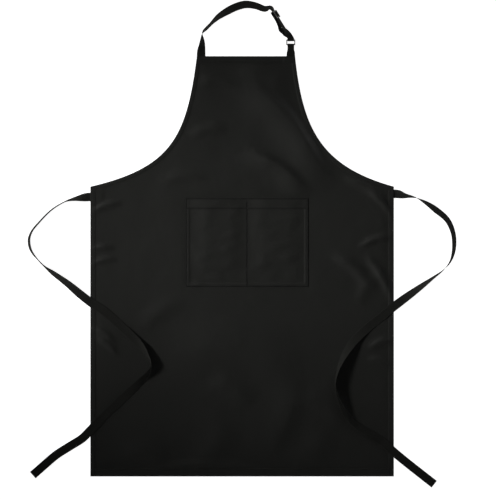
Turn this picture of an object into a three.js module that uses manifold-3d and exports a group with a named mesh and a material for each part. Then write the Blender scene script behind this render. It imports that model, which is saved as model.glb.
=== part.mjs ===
// An artist's bib apron laid out flat on a table, with its ties and neck strap arranged round it.
// Millimetres. X runs across the apron, +Y towards the neck, +Z up from the table.
// The origin is the middle of the waistline on the back of the cloth, where it lies on the table.
import * as THREE from 'three';
import { mergeVertices } from 'three/addons/utils/BufferGeometryUtils.js';
import Module from 'manifold-3d';

const wasm = await Module();
wasm.setup();

// ---- driving dimensions ----
// Front panel
const skirtWidth = 670;
const skirtLength = 640;
const bibHeight = 288;
const bibTopWidth = 217;
const bibShift = 8.5;            // the upper part lies this far to the right of the skirt's middle
const armholeHandlesLeft = [[0.763, 0.146], [0.904, 0.379]];
const armholeHandlesRight = [[0.741, 0.156], [0.922, 0.441]];
const panelThickness = 1.6;      // the cloth with its folded hems
// Hems, from the edge of the cloth to the stitch line
const sideHem = 10;
const armholeHem = 8;
const topHem = 14;
const bottomHem = 16;
const armholeSeamShare = [0.045, 0.945];  // where its stitching starts and stops along the armhole
// Pocket
const pocketWidth = 270;
const pocketHeight = 195;
const pocketDrop = 26;           // from the waistline down to the pocket's mouth
const pocketShift = 11;          // to the right of the skirt's middle
const pocketHem = 23;
const pocketCloth = 0.7;
const pocketMargin = 7;          // flat edge that is sewn to the panel
const pocketBow = 7.5;           // how far the mouth stands away from the panel
const pocketBowRise = 26;        // distance over which the cloth rises from a seam
const pocketClosedEnd = 45;      // distance from the bottom seam over which the pocket opens up
// Thread
const threadWidth = 0.9;
const threadHeight = 0.3;
const seamInset = 2.5;           // stitches on the pocket, from its edge
const tackLength = 9;
const tackWidth = 2.2;
// Tape for the neck strap and the ties
const tapeWidth = 19;
const tapeThickness = 0.8;
const tapeSewn = 24;             // length of an end that is sewn behind the cloth
const tieDropLeft = 23;          // from the waistline to the middle of the tie
const tieDropRight = 16;
const tackBoxInset = 3;          // stitched box inside a sewn end
// Ring at the right of the bib, and the tab that holds it
const ringInnerWidth = 15.4;
const ringInnerHeight = 8.6;
const ringWire = 2.2;
const ringCorner = 1.5;
const tabLength = 25;            // from the bib's top edge to the ring's lower bar
const tabMouth = 0.9;            // how far apart its two layers are where they part
const ringTapeRoom = 0.4;        // beside the tape where it is gathered up inside the ring
const ringPlay = 1.7;            // slack of the strap's turn round the ring
// Slider
const sliderLength = 18;
const sliderBar = 2.4;
const sliderRail = 2.4;
const sliderTape = 0.6;          // room beside the tape
const sliderWrap = 7;            // reach of the strap's end, sewn round the middle bar
const sliderTilt = 70;           // how far the tape and slider stand up from the table
const sliderTravel = 20;
const sliderHeading = -58;       // direction of the doubled stretch, from the slider to the ring
const sliderInset = 33.5;        // from the tab's middle line in to the slider's middle
const sliderAboveBib = 91;
// Clearances
const gap = 0.3;
const hingeGap = 0.4;

// ---- places that follow from them ----
const halfSkirt = skirtWidth / 2;
const bibLeft = bibShift - bibTopWidth / 2;
const bibRight = bibShift + bibTopWidth / 2;
const clothTop = panelThickness;
const threadBase = clothTop + gap;
const overSeams = threadBase + threadHeight + gap;
const recessDepth = tapeThickness + gap;
const strapX = bibLeft + tapeWidth / 2;
const tabX = bibRight - tapeWidth / 2;
const strapTack = { width: tapeWidth - 2 * tackBoxInset, height: tapeSewn - 3 * tackBoxInset };
const ringLowerBar = bibHeight + tabLength;
const ringUpperBar = ringLowerBar + ringInnerHeight + ringWire;
const ringTapeWidth = ringInnerWidth - 2 * ringTapeRoom;
const ringRoom = ringWire * Math.SQRT1_2 + gap;
const ringZ = tapeThickness + ringRoom;

// ---- materials ----
const twill = new THREE.MeshStandardMaterial({ color: 0x1b1b19, roughness: 0.85, metalness: 0 });
const webbing = new THREE.MeshStandardMaterial({ color: 0x161616, roughness: 0.9, metalness: 0 });
const thread = new THREE.MeshStandardMaterial({ color: 0x232322, roughness: 0.6, metalness: 0 });
const moulded = new THREE.MeshStandardMaterial({ color: 0x0c0c0c, roughness: 0.35, metalness: 0 });

const apron = new THREE.Group();
const degrees = THREE.MathUtils.degToRad;
const upwards = new THREE.Vector3(0, 0, 1);

function piece(name, geometry, material, parent = apron) {
  const mesh = new THREE.Mesh(geometry, material);
  mesh.name = name;
  parent.add(mesh);
  return mesh;
}

// ---- joining and cutting ----
function toSolid(geometry) {
  const bare = geometry.clone();
  bare.deleteAttribute('normal');
  bare.deleteAttribute('uv');
  const merged = mergeVertices(bare, 1e-4);
  return new wasm.Manifold(new wasm.Mesh({
    numProp: 3,
    vertProperties: new Float32Array(merged.attributes.position.array),
    triVerts: new Uint32Array(merged.index.array),
  }));
}

function toGeometry(solid) {
  const mesh = solid.getMesh();
  const geometry = new THREE.BufferGeometry();
  geometry.setAttribute('position', new THREE.BufferAttribute(mesh.vertProperties, 3));
  geometry.setIndex(new THREE.BufferAttribute(mesh.triVerts, 1));
  geometry.computeVertexNormals();
  return geometry;
}

// ---- basic shapes ----
// A block given by its lowest and highest corners.
function block(low, high, segments = [1, 1, 1]) {
  const size = high.map((value, axis) => value - low[axis]);
  const geometry = new THREE.BoxGeometry(...size, ...segments);
  geometry.translate(...high.map((value, axis) => (value + low[axis]) / 2));
  return geometry;
}

// A flat plate from a closed outline, lying between two heights.
function plate(shape, low, high, curveSegments = 24) {
  const depth = high - low;
  const geometry = new THREE.ExtrudeGeometry(shape, { depth, bevelEnabled: false, curveSegments });
  geometry.translate(0, 0, low);
  return geometry;
}

// A profile drawn in the Y-Z plane and extruded across X about a middle.
function acrossX(shape, middleX, width, curveSegments = 8) {
  const geometry = new THREE.ExtrudeGeometry(shape, { depth: width, bevelEnabled: false, curveSegments });
  geometry.rotateY(Math.PI / 2);
  geometry.rotateX(Math.PI / 2);
  geometry.translate(middleX - width / 2, 0, 0);
  return geometry;
}

// ---- tape ----
// Each stop on a tape's route is [x, y, roll, base, width, skew]. Roll is how far the tape's width is turned
// up from lying flat, in degrees, and base is the height of what its lower edge rests on. Skew is how far its
// width is turned off square to the route, where it is gathered up at an angle.
class TapeRoute {
  constructor(stops) {
    this.stops = stops.map(([x, y, roll, base = 0, width = tapeWidth, skew = 0]) => (
      { x, y, roll, base, width, skew }
    ));
    const places = this.stops.map((stop) => new THREE.Vector3(stop.x, stop.y, 0));
    this.plan = new THREE.CatmullRomCurve3(places, false, 'centripetal');
  }

  // The blend of a named value between the stops either side of t.
  valueAt(name, t) {
    const last = this.stops.length - 1;
    const at = THREE.MathUtils.clamp(t * last, 0, last - 1e-9);
    const index = Math.floor(at);
    return THREE.MathUtils.lerp(this.stops[index][name], this.stops[index + 1][name], at - index);
  }

  // The middle of the tape: its lower edge stays on its base however far it is turned up.
  middle(t) {
    const place = this.plan.getPoint(THREE.MathUtils.clamp(t, 0, 1));
    const turned = Math.abs(Math.sin(degrees(this.valueAt('roll', t))));
    place.z = this.valueAt('base', t) + turned * this.valueAt('width', t) / 2 + tapeThickness / 2;
    return place;
  }

  // Middle, width direction, normal and half width of the section at t.
  section(t) {
    const step = 1e-3;
    const tangent = this.middle(t + step).sub(this.middle(t - step)).normalize();
    const level = new THREE.Vector3(-tangent.y, tangent.x, 0).normalize();
    const side = level.applyAxisAngle(tangent, degrees(this.valueAt('roll', t)));
    side.applyAxisAngle(upwards, degrees(this.valueAt('skew', t)));
    const normal = new THREE.Vector3().crossVectors(tangent, side).normalize();
    return { middle: this.middle(t), side, normal, half: this.valueAt('width', t) / 2 };
  }
}

// A closed solid that sweeps a flat section with eased edges along a route. The two broad sides are split
// along the same diagonals, so that they stay a tape's thickness apart where it twists.
function tapeGeometry(stops, steps) {
  const route = new TapeRoute(stops);
  const thick = tapeThickness / 2;
  const edge = [[-1, -0.5], [-1, 0.5], [-0.96, 1], [0.96, 1], [1, 0.5], [1, -0.5], [0.96, -1], [-0.96, -1]];
  const sides = edge.length;
  const vertices = [];
  for (let step = 0; step <= steps; step += 1) {
    const { middle, side, normal, half } = route.section(step / steps);
    for (const [across, up] of edge) {
      const corner = middle.clone();
      corner.addScaledVector(side, across * half);
      corner.addScaledVector(normal, up * thick);
      vertices.push(...corner.toArray());
    }
  }
  const faces = [];
  for (let step = 0; step < steps; step += 1) {
    for (let index = 0; index < sides; index += 1) {
      const a = step * sides + index;
      const b = step * sides + (index + 1) % sides;
      const lowerSide = index > sides / 2;
      if (lowerSide) {
        faces.push(a, a + sides, b + sides, a, b + sides, b);
      } else {
        faces.push(a, a + sides, b, b, a + sides, b + sides);
      }
    }
  }
  const end = steps * sides;
  for (let index = 1; index < sides - 1; index += 1) {
    faces.push(0, index, index + 1, end, end + index + 1, end + index);
  }
  const geometry = new THREE.BufferGeometry();
  geometry.setAttribute('position', new THREE.Float32BufferAttribute(vertices, 3));
  geometry.setIndex(faces);
  return toGeometry(toSolid(geometry));
}

// ---- front panel ----
// An armhole runs from a waist corner to the bib's top corner on the same side. Its two handles are placed
// by their shares of the way in from the side edge and up to the bib's top.
function armholeCurve(edgeX, topX, handles) {
  const [first, second] = handles.map(([inShare, upShare]) => new THREE.Vector2(
    THREE.MathUtils.lerp(edgeX, topX, inShare),
    upShare * bibHeight,
  ));
  const start = new THREE.Vector2(edgeX, 0);
  return new THREE.CubicBezierCurve(start, first, second, new THREE.Vector2(topX, bibHeight));
}

const armholes = {
  left: armholeCurve(-halfSkirt, bibLeft, armholeHandlesLeft),
  right: armholeCurve(halfSkirt, bibRight, armholeHandlesRight),
};

function panelShape() {
  const shape = new THREE.Shape();
  const { left, right } = armholes;
  shape.moveTo(-halfSkirt, -skirtLength);
  shape.lineTo(halfSkirt, -skirtLength);
  shape.lineTo(halfSkirt, 0);
  shape.bezierCurveTo(right.v1.x, right.v1.y, right.v2.x, right.v2.y, bibRight, bibHeight);
  shape.lineTo(bibLeft, bibHeight);
  shape.bezierCurveTo(left.v2.x, left.v2.y, left.v1.x, left.v1.y, -halfSkirt, 0);
  shape.lineTo(-halfSkirt, -skirtLength);
  return shape;
}

// Shallow recesses in the back of the panel take the sewn ends of the tapes.
function panelGeometry() {
  const reach = tapeSewn + gap;
  const room = tapeWidth / 2 + gap;
  const outside = 5;
  const [inside, beyond] = [halfSkirt - reach, halfSkirt + outside];
  const recesses = [
    [[strapX - room, bibHeight - reach], [strapX + room, bibHeight + outside]],
    [[tabX - room, bibHeight - reach], [tabX + room, bibHeight + outside]],
    [[-beyond, -tieDropLeft - room], [-inside, -tieDropLeft + room]],
    [[inside, -tieDropRight - room], [beyond, -tieDropRight + room]],
  ];
  let solid = toSolid(plate(panelShape(), 0, panelThickness));
  for (const [low, high] of recesses) {
    solid = solid.subtract(toSolid(block([...low, -1], [...high, recessDepth])));
  }
  return toGeometry(solid);
}

piece('front_panel', panelGeometry(), twill);

// ---- pocket ----
const pocketLeft = pocketShift - pocketWidth / 2;
const pocketRight = pocketShift + pocketWidth / 2;
const pocketMouth = -pocketDrop;
const pocketBottom = pocketMouth - pocketHeight;
const pocketBase = clothTop + gap;
const pocketSkin = pocketBase + pocketCloth;

// How far the pocket's cloth stands out at a place: nothing at its seams, most at the mouth.
function bowAt(x, y) {
  const toSeam = Math.min(x - pocketLeft - pocketMargin, pocketRight - pocketMargin - x);
  const toDivider = Math.abs(x - pocketShift) - threadWidth;
  const across = THREE.MathUtils.smoothstep(Math.min(toSeam, toDivider), 0, pocketBowRise);
  const up = THREE.MathUtils.smoothstep(y - pocketBottom - pocketMargin, 0, pocketClosedEnd);
  return pocketBow * across * up;
}

// Lifts every point of a geometry with the pocket's cloth.
function bowed(geometry) {
  const place = geometry.attributes.position;
  for (let index = 0; index < place.count; index += 1) {
    place.setZ(index, place.getZ(index) + bowAt(place.getX(index), place.getY(index)));
  }
  geometry.computeVertexNormals();
  return geometry;
}

const pocketColumns = 36;
const pocketRows = 12;
piece('pocket_panel', bowed(block(
  [pocketLeft, pocketBottom, pocketBase],
  [pocketRight, pocketMouth, pocketSkin],
  [pocketColumns, pocketRows, 1],
)), twill);

// ---- seams ----
// A line of stitching on the cloth along a curve, as one continuous thread.
function seamAlong(points, steps) {
  const half = threadWidth / 2;
  const section = new THREE.Shape([
    new THREE.Vector2(-threadHeight / 2, -half),
    new THREE.Vector2(threadHeight / 2, -half),
    new THREE.Vector2(threadHeight / 2, half),
    new THREE.Vector2(-threadHeight / 2, half),
  ]);
  const extrudePath = new THREE.CatmullRomCurve3(points);
  return new THREE.ExtrudeGeometry(section, { steps, extrudePath, bevelEnabled: false });
}

// A straight run of stitching between two places at one height.
function straightSeam([x0, y0], [x1, y1], base = threadBase) {
  const half = threadWidth / 2;
  const low = [Math.min(x0, x1) - (x0 === x1 ? half : 0), Math.min(y0, y1) - (y0 === y1 ? half : 0), base];
  const high = [Math.max(x0, x1) + (x0 === x1 ? half : 0), Math.max(y0, y1) + (y0 === y1 ? half : 0)];
  return block(low, [...high, base + threadHeight]);
}

// Stitching along an armhole, a hem's depth inside its edge and clear of the seams at both ends.
function armholeSeam(curve, inward) {
  const count = 20;
  const [from, to] = armholeSeamShare;
  const points = [];
  for (let index = 0; index <= count; index += 1) {
    const t = THREE.MathUtils.lerp(from, to, index / count);
    const at = curve.getPoint(t);
    const along = curve.getTangent(t);
    const aside = new THREE.Vector2(-along.y, along.x).multiplyScalar(inward * armholeHem);
    points.push(new THREE.Vector3(at.x + aside.x, at.y + aside.y, threadBase + threadHeight / 2));
  }
  return seamAlong(points, 32);
}

// A closed rectangle of stitching.
function stitchBox(x, y, width, height, base = threadBase) {
  const shape = new THREE.Shape();
  const outer = threadWidth / 2;
  const rectangle = (path, grow) => {
    const [w, h] = [width / 2 + grow, height / 2 + grow];
    path.moveTo(x - w, y - h);
    path.lineTo(x + w, y - h);
    path.lineTo(x + w, y + h);
    path.lineTo(x - w, y + h);
    path.lineTo(x - w, y - h);
  };
  rectangle(shape, outer);
  const hole = new THREE.Path();
  rectangle(hole, -outer);
  shape.holes.push(hole);
  return plate(shape, base, base + threadHeight);
}

const seamEnd = sideHem + threadWidth;
const bottomLine = -skirtLength + bottomHem;
const topLine = bibHeight - topHem;
const topSeamReach = tapeWidth + 4;
piece('side_seam_left', straightSeam(
  [-halfSkirt + sideHem, bottomLine + threadWidth],
  [-halfSkirt + sideHem, -tieDropLeft - tapeWidth],
), thread);
piece('side_seam_right', straightSeam(
  [halfSkirt - sideHem, bottomLine + threadWidth],
  [halfSkirt - sideHem, -tieDropRight - tapeWidth],
), thread);
piece('bottom_hem_seam', straightSeam(
  [-halfSkirt + seamEnd, bottomLine],
  [halfSkirt - seamEnd, bottomLine],
), thread);
piece('top_hem_seam', straightSeam(
  [bibLeft + topSeamReach, topLine],
  [bibRight - topSeamReach, topLine],
), thread);
piece('armhole_seam_left', armholeSeam(armholes.left, -1), thread);
piece('armhole_seam_right', armholeSeam(armholes.right, 1), thread);

// ---- pocket stitching ----
const onPocket = pocketSkin + gap;

// One thread runs down one side of the pocket, along its bottom and up the other side.
function pocketOutlineSeam() {
  const half = threadWidth / 2;
  const [left, right] = [pocketLeft + seamInset, pocketRight - seamInset];
  const top = pocketMouth - tackLength - 2;
  const bottom = pocketBottom + seamInset;
  const shape = new THREE.Shape();
  shape.moveTo(left - half, top);
  shape.lineTo(left - half, bottom - half);
  shape.lineTo(right + half, bottom - half);
  shape.lineTo(right + half, top);
  shape.lineTo(right - half, top);
  shape.lineTo(right - half, bottom + half);
  shape.lineTo(left + half, bottom + half);
  shape.lineTo(left + half, top);
  shape.lineTo(left - half, top);
  return plate(shape, onPocket, onPocket + threadHeight);
}

function tack(x) {
  const half = tackWidth / 2;
  const low = [x - half, pocketMouth - tackLength - 1, onPocket];
  return block(low, [x + half, pocketMouth - 1, onPocket + 2 * threadHeight]);
}

// The hem's stitching crosses each compartment between the seams.
function pocketHemSeam(from, to) {
  const y = pocketMouth - pocketHem;
  const half = threadWidth / 2;
  const base = onPocket + gap / 2;
  return bowed(block([from, y - half, base], [to, y + half, base + threadHeight], [18, 1, 1]));
}

const dividerClear = threadWidth / 2 + 1;
piece('pocket_seam', pocketOutlineSeam(), thread);
piece('pocket_divider_seam', straightSeam(
  [pocketShift, pocketBottom + seamInset + threadWidth],
  [pocketShift, pocketMouth - tackLength - 2],
  onPocket,
), thread);
const hemSeamEnd = seamInset + 1;
piece('pocket_hem_seam_left', pocketHemSeam(pocketLeft + hemSeamEnd, pocketShift - dividerClear), thread);
piece('pocket_hem_seam_right', pocketHemSeam(pocketShift + dividerClear, pocketRight - hemSeamEnd), thread);
piece('pocket_tack_left', tack(pocketLeft + seamInset), thread);
piece('pocket_tack_middle', tack(pocketShift), thread);
piece('pocket_tack_right', tack(pocketRight - seamInset), thread);

// ---- sewn ends of the neck strap and the ring's tab ----
function sewnEnd(x) {
  return block(
    [x - tapeWidth / 2, bibHeight - tapeSewn, 0],
    [x + tapeWidth / 2, bibHeight + hingeGap / 2, tapeThickness],
  );
}

const tackBoxY = bibHeight - tapeSewn / 2;
piece('strap_sewn_end', sewnEnd(strapX), webbing);
piece('tab_sewn_end', sewnEnd(tabX), webbing);
piece('strap_tack_seam', stitchBox(strapX, tackBoxY, strapTack.width, strapTack.height), thread);
piece('tab_tack_seam', stitchBox(tabX, tackBoxY, strapTack.width, strapTack.height), thread);
const sideTackInset = tapeSewn / 2;
piece('tie_tack_seam_left', stitchBox(
  -halfSkirt + sideTackInset,
  -tieDropLeft,
  strapTack.height,
  strapTack.width,
), thread);
piece('tie_tack_seam_right', stitchBox(
  halfSkirt - sideTackInset,
  -tieDropRight,
  strapTack.height,
  strapTack.width,
), thread);

// ---- ring and its tab ----
function ringGeometry() {
  const shape = new THREE.Shape();
  const [w, h] = [ringInnerWidth / 2 + ringWire, ringInnerHeight / 2 + ringWire];
  const [cx, cy] = [w - ringCorner, h - ringCorner];
  const quarter = Math.PI / 2;
  shape.absarc(cx, -cy, ringCorner, -quarter, 0);
  shape.absarc(cx, cy, ringCorner, 0, quarter);
  shape.absarc(-cx, cy, ringCorner, quarter, 2 * quarter);
  shape.absarc(-cx, -cy, ringCorner, 2 * quarter, 3 * quarter);
  const hole = new THREE.Path();
  const [iw, ih] = [ringInnerWidth / 2, ringInnerHeight / 2];
  hole.moveTo(-iw, -ih);
  hole.lineTo(iw, -ih);
  hole.lineTo(iw, ih);
  hole.lineTo(-iw, ih);
  hole.lineTo(-iw, -ih);
  shape.holes.push(hole);
  const geometry = plate(shape, -ringWire / 2, ringWire / 2, 5);
  geometry.translate(tabX, (ringLowerBar + ringUpperBar) / 2, ringZ);
  return toGeometry(toSolid(geometry));
}

piece('strap_ring', ringGeometry(), moulded);

// The tab's free part: tape doubled round the ring's lower bar, its two layers meeting at the bib.
function tabProfile() {
  const inner = ringRoom;
  const outer = inner + tapeThickness;
  const start = bibHeight + hingeGap;
  const shape = new THREE.Shape();
  shape.moveTo(start, 0);
  shape.lineTo(start + 1, 0);
  shape.absarc(ringLowerBar, ringZ, outer, -Math.PI / 2, Math.PI / 2);
  shape.lineTo(start, 2 * tapeThickness + gap);
  shape.lineTo(start, 0);
  const hole = new THREE.Path();
  hole.absarc(ringLowerBar, ringZ, inner, -Math.PI / 2, Math.PI / 2);
  hole.lineTo(start + tabLength / 2, tapeThickness + tabMouth);
  hole.lineTo(start + tabLength / 2, tapeThickness + 0.2 * tabMouth);
  shape.holes.push(hole);
  return shape;
}

piece('ring_tab', toGeometry(toSolid(acrossX(tabProfile(), tabX, ringTapeWidth))), webbing);

// ---- neck strap ----
const heading = degrees(sliderHeading);
const along = new THREE.Vector2(Math.cos(heading), Math.sin(heading));
const inwards = new THREE.Vector2(along.y, -along.x);
const sliderX = tabX - sliderInset;
const sliderY = bibHeight + sliderAboveBib;
const archSpan = sliderX - strapX;
const standingRoll = 180 - sliderTilt;
const sliderInner = tapeWidth / 2 + sliderTape;
const sliderOuter = sliderInner + sliderRail;
const sliderNear = tapeThickness / 2 + gap;
const sliderFar = sliderNear + sliderBar;
const middleNear = sliderNear + tapeThickness + gap;
const middleFar = middleNear + sliderBar;
const returnOff = middleFar + gap + tapeThickness / 2;
const [tiltUp, tiltOver] = [Math.sin(degrees(sliderTilt)), Math.cos(degrees(sliderTilt))];
const sliderMiddle = tiltUp * sliderOuter + tiltOver * middleFar + gap;
const sliderLift = sliderMiddle - tiltUp * tapeWidth / 2 - tapeThickness / 2;

// A place beside the doubled stretch: so far from the slider along it, and so far in from it.
function byStretch(distance, aside) {
  const place = new THREE.Vector2(sliderX, sliderY);
  return place.addScaledVector(along, distance).addScaledVector(inwards, aside).toArray();
}

const wrapInner = 2 * ringRoom + ringPlay;
const wrapTop = tapeThickness + wrapInner;
const wrapBack = ringUpperBar + 4;
const strapStart = bibHeight + hingeGap;
const straightEnd = sliderLength / 2 + sliderTravel + 2;

const strapStops = [
  [strapX, strapStart, 0],
  [strapX, bibHeight + 4, 2],
  [strapX + 0.5, bibHeight + 13, 22],
  [strapX + 2, bibHeight + 25, 45],
  [strapX + 2.5, bibHeight + 38, 66],
  [strapX + 2.5, bibHeight + 47, 86],
  [strapX + 5.5, bibHeight + 54, 108],
  [strapX + 0.067 * archSpan, bibHeight + 60, 114],
  [strapX + 0.14 * archSpan, bibHeight + 72, 113],
  [strapX + 0.23 * archSpan, bibHeight + 86, 132],
  [strapX + 0.35 * archSpan, bibHeight + 99, 155],
  [strapX + 0.475 * archSpan, bibHeight + 109, 160],
  [strapX + 0.6 * archSpan, bibHeight + 114, 158],
  [strapX + 0.73 * archSpan, bibHeight + 111, 146],
  [strapX + 0.855 * archSpan, bibHeight + 104, 138],
  [...byStretch(-sliderLength, 1.5), 122, sliderLift],
  [...byStretch(-sliderLength / 2, 0), standingRoll, sliderLift],
  [...byStretch(sliderLength, 0), standingRoll, sliderLift],
  [...byStretch(straightEnd, 0), standingRoll, sliderLift],
  [...byStretch(straightEnd + 7, 0), standingRoll, sliderLift],
  [tabX - 9, ringUpperBar + 16.4, 128, wrapTop - 2, 18, -8],
  [tabX - 4.5, ringUpperBar + 9.7, 156, wrapTop - 0.5, 15.6, -22],
  [tabX, ringUpperBar + 3, 180, wrapTop, ringTapeWidth, -34],
];

// The turn of the strap round the ring's upper bar.
function wrapProfile() {
  const outer = wrapInner / 2 + tapeThickness;
  const middle = outer;
  const face = ringUpperBar + gap;
  const shape = new THREE.Shape();
  shape.moveTo(wrapBack, 0);
  shape.lineTo(wrapBack, tapeThickness);
  shape.absarc(face, middle, wrapInner / 2, 1.5 * Math.PI, Math.PI / 2, true);
  shape.lineTo(wrapBack, 2 * outer - tapeThickness);
  shape.lineTo(wrapBack, 2 * outer);
  shape.absarc(face, middle, outer, Math.PI / 2, 1.5 * Math.PI, false);
  return shape;
}

function strapGeometry() {
  const run = toSolid(tapeGeometry(strapStops, 96));
  return toGeometry(run.add(toSolid(acrossX(wrapProfile(), tabX, ringTapeWidth))));
}

piece('neck_strap', strapGeometry(), webbing);

// The strap's own end comes back from the ring and is sewn round the slider's middle bar.
const returnLift = sliderLift - tiltOver * returnOff;
const returnAside = tiltUp * returnOff;
const returnStops = [
  [tabX, wrapBack + gap, 0, 0, ringTapeWidth, -48],
  [tabX - 4, wrapBack + 3.8, 8, 0, ringTapeWidth, -38],
  [tabX - 9, wrapBack + 8.4, 24, 0.2, 15.8, -22],
  [tabX - 14.5, wrapBack + 13, 42, 0.5, 17.5, -8],
  [...byStretch(sliderLength / 2 + 25, returnAside + 3.2), 58, 0.8],
  [...byStretch(sliderLength / 2 + 15, returnAside + 1.6), 68, returnLift],
  [...byStretch(sliderLength / 2 + 6, returnAside + 0.4), sliderTilt, returnLift],
  [...byStretch(sliderWrap + gap, returnAside), sliderTilt, returnLift],
];
piece('strap_return', tapeGeometry(returnStops, 40), webbing);

// ---- slider ----
// Drawn with the tape passing through along X, its width along Y, the outer bars on one side and the
// middle bar on the other, then stood up where the strap runs.
function sliderGeometry() {
  const half = sliderLength / 2;
  const [inner, outer, near, far] = [sliderInner, sliderOuter, sliderNear, sliderFar];
  const over = 0.2;
  const parts = [
    block([-half, inner, -far], [half, outer, middleFar]),
    block([-half, -outer, -far], [half, -inner, middleFar]),
    block([-half, -inner - over, -far], [-half + sliderBar, inner + over, -near]),
    block([half - sliderBar, -inner - over, -far], [half, inner + over, -near]),
    block([-sliderBar / 2, -inner - over, middleNear], [sliderBar / 2, inner + over, middleFar]),
  ];
  return toGeometry(parts.map(toSolid).reduce((whole, part) => whole.add(part)));
}

// The strap's end folded round the middle bar, its two layers sewn together towards the ring.
function sliderWrapGeometry() {
  const radius = (returnOff + tapeThickness / 2 - sliderNear) / 2;
  const middle = sliderNear + radius;
  const inside = radius - tapeThickness;
  const turn = -0.3 * sliderBar;
  const quarter = Math.PI / 2;
  const shape = new THREE.Shape();
  shape.moveTo(sliderWrap, middle + inside);
  shape.lineTo(sliderWrap, middle + radius);
  shape.absarc(turn, middle, radius, quarter, 3 * quarter);
  shape.lineTo(sliderWrap, middle - radius);
  shape.lineTo(sliderWrap, middle - inside);
  shape.absarc(turn, middle, inside, 3 * quarter, quarter, true);
  const settings = { depth: tapeWidth, bevelEnabled: false, curveSegments: 8 };
  const geometry = new THREE.ExtrudeGeometry(shape, settings);
  geometry.rotateX(quarter);
  geometry.translate(0, tapeWidth / 2, 0);
  return toGeometry(toSolid(geometry));
}

const sliderStand = new THREE.Group();
sliderStand.position.set(sliderX, sliderY, sliderMiddle);
sliderStand.rotation.set(degrees(standingRoll), 0, heading, 'ZYX');
apron.add(sliderStand);
piece('strap_slider', sliderGeometry(), moulded, sliderStand);
piece('strap_end_wrap', sliderWrapGeometry(), webbing, sliderStand);
const endSeamLow = returnOff + tapeThickness / 2 + gap;
const endSeamAt = sliderWrap - 2;
piece('strap_end_seam', block(
  [endSeamAt - threadWidth / 2, -tapeWidth / 2 + seamInset, endSeamLow],
  [endSeamAt + threadWidth / 2, tapeWidth / 2 - seamInset, endSeamLow + threadHeight],
), thread, sliderStand);

// ---- ties ----
// A tie's route, with X measured outwards from the side edge of the skirt.
function fromEdge(side, stops) {
  return stops.map(([outwards, ...rest]) => [side * (halfSkirt + outwards), ...rest]);
}

const tieLeftStops = fromEdge(-1, [
  [-tapeSewn, -tieDropLeft, 0],
  [0, -tieDropLeft, 0],
  [4, -tieDropLeft, 0],
  [12, -tieDropLeft - 1, 12],
  [24, -tieDropLeft - 3, 48],
  [37, -28, 66],
  [55, -33, 84],
  [86, -52, 80],
  [112, -78, 78],
  [129, -99, 76],
  [135, -117, 70],
  [131, -140, 72],
  [116, -161, 84],
  [100, -177, 80],
  [83, -190, 56],
  [49, -215, 36, 1],
  [23, -237, 12, overSeams],
  [0, -255, 0, overSeams],
  [-32, -276, 0, overSeams],
  [-73, -313, 0, overSeams],
  [-105, -345, 18, overSeams],
  [-124, -371, 55, overSeams],
  [-134, -394, 88, overSeams],
  [-125, -414, 122, overSeams],
  [-103, -438, 150, overSeams],
  [-68, -471, 176, overSeams],
  [-37, -500, 180, overSeams],
  [0, -538, 180, overSeams],
  [18, -556, 174, 1],
  [45, -573, 180],
  [76, -593, 180],
  [102, -615, 180],
  [127, -637, 180],
]);

const tieRightStops = fromEdge(1, [
  [-tapeSewn, -tieDropRight, 0],
  [0, -tieDropRight, 0],
  [4, -tieDropRight, 0],
  [12, -tieDropRight - 1, 16],
  [24, -tieDropRight - 4, 58],
  [46, -24, 85],
  [67, -34, 113],
  [92, -51, 138],
  [118, -74, 133],
  [130, -100, 126],
  [133, -123, 124],
  [131, -146, 116],
  [124, -166, 103],
  [110, -183, 90],
  [84, -203, 72],
  [43, -233, 34, 1],
  [21, -249, 12, overSeams],
  [0, -265, 0, overSeams],
  [-28, -288, 0, overSeams],
  [-57, -311, 0, overSeams],
  [-86, -339, 16, overSeams],
  [-108, -370, 44, overSeams],
  [-122, -400, 72, overSeams],
  [-129, -436, 90, overSeams],
  [-122, -470, 104, overSeams],
  [-107, -501, 126, overSeams],
  [-82, -526, 148, overSeams],
  [-50, -547, 172, overSeams],
  [-23, -565, 180, overSeams],
  [0, -586, 180, overSeams],
  [18, -601, 176, 1],
  [43, -621, 180],
  [66, -639, 180],
  [89, -657, 180],
]);

const tieSteps = 78;
piece('tie_left', tapeGeometry(tieLeftStops, tieSteps), webbing);
piece('tie_right', tapeGeometry(tieRightStops, tieSteps), webbing);

export default apron;
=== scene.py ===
"""A black bib apron laid out flat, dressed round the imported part.

Metres throughout. X runs across the apron, +Y towards the neck and +Z up from the table.
"""
import sys
import logging
import math
from dataclasses import dataclass
from enum import Enum
from typing import Any, Callable, Iterable, Sequence

import bmesh
import bpy
import numpy as np
from mathutils import Matrix, Vector, noise


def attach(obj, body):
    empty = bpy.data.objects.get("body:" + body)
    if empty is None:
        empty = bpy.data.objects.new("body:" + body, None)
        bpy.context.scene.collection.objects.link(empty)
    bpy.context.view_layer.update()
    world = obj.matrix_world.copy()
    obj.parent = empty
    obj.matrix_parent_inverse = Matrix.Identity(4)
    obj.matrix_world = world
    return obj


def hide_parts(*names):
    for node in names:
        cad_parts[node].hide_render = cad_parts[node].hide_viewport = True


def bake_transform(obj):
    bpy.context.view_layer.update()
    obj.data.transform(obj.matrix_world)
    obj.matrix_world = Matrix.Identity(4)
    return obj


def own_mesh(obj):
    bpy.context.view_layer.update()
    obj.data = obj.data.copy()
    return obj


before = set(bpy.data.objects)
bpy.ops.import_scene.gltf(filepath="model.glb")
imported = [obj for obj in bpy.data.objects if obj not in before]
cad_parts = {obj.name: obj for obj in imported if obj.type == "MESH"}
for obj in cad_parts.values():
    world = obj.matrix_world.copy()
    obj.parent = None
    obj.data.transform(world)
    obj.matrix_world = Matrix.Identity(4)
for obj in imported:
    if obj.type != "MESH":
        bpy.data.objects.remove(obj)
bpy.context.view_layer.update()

log = logging.getLogger("apron")


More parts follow.
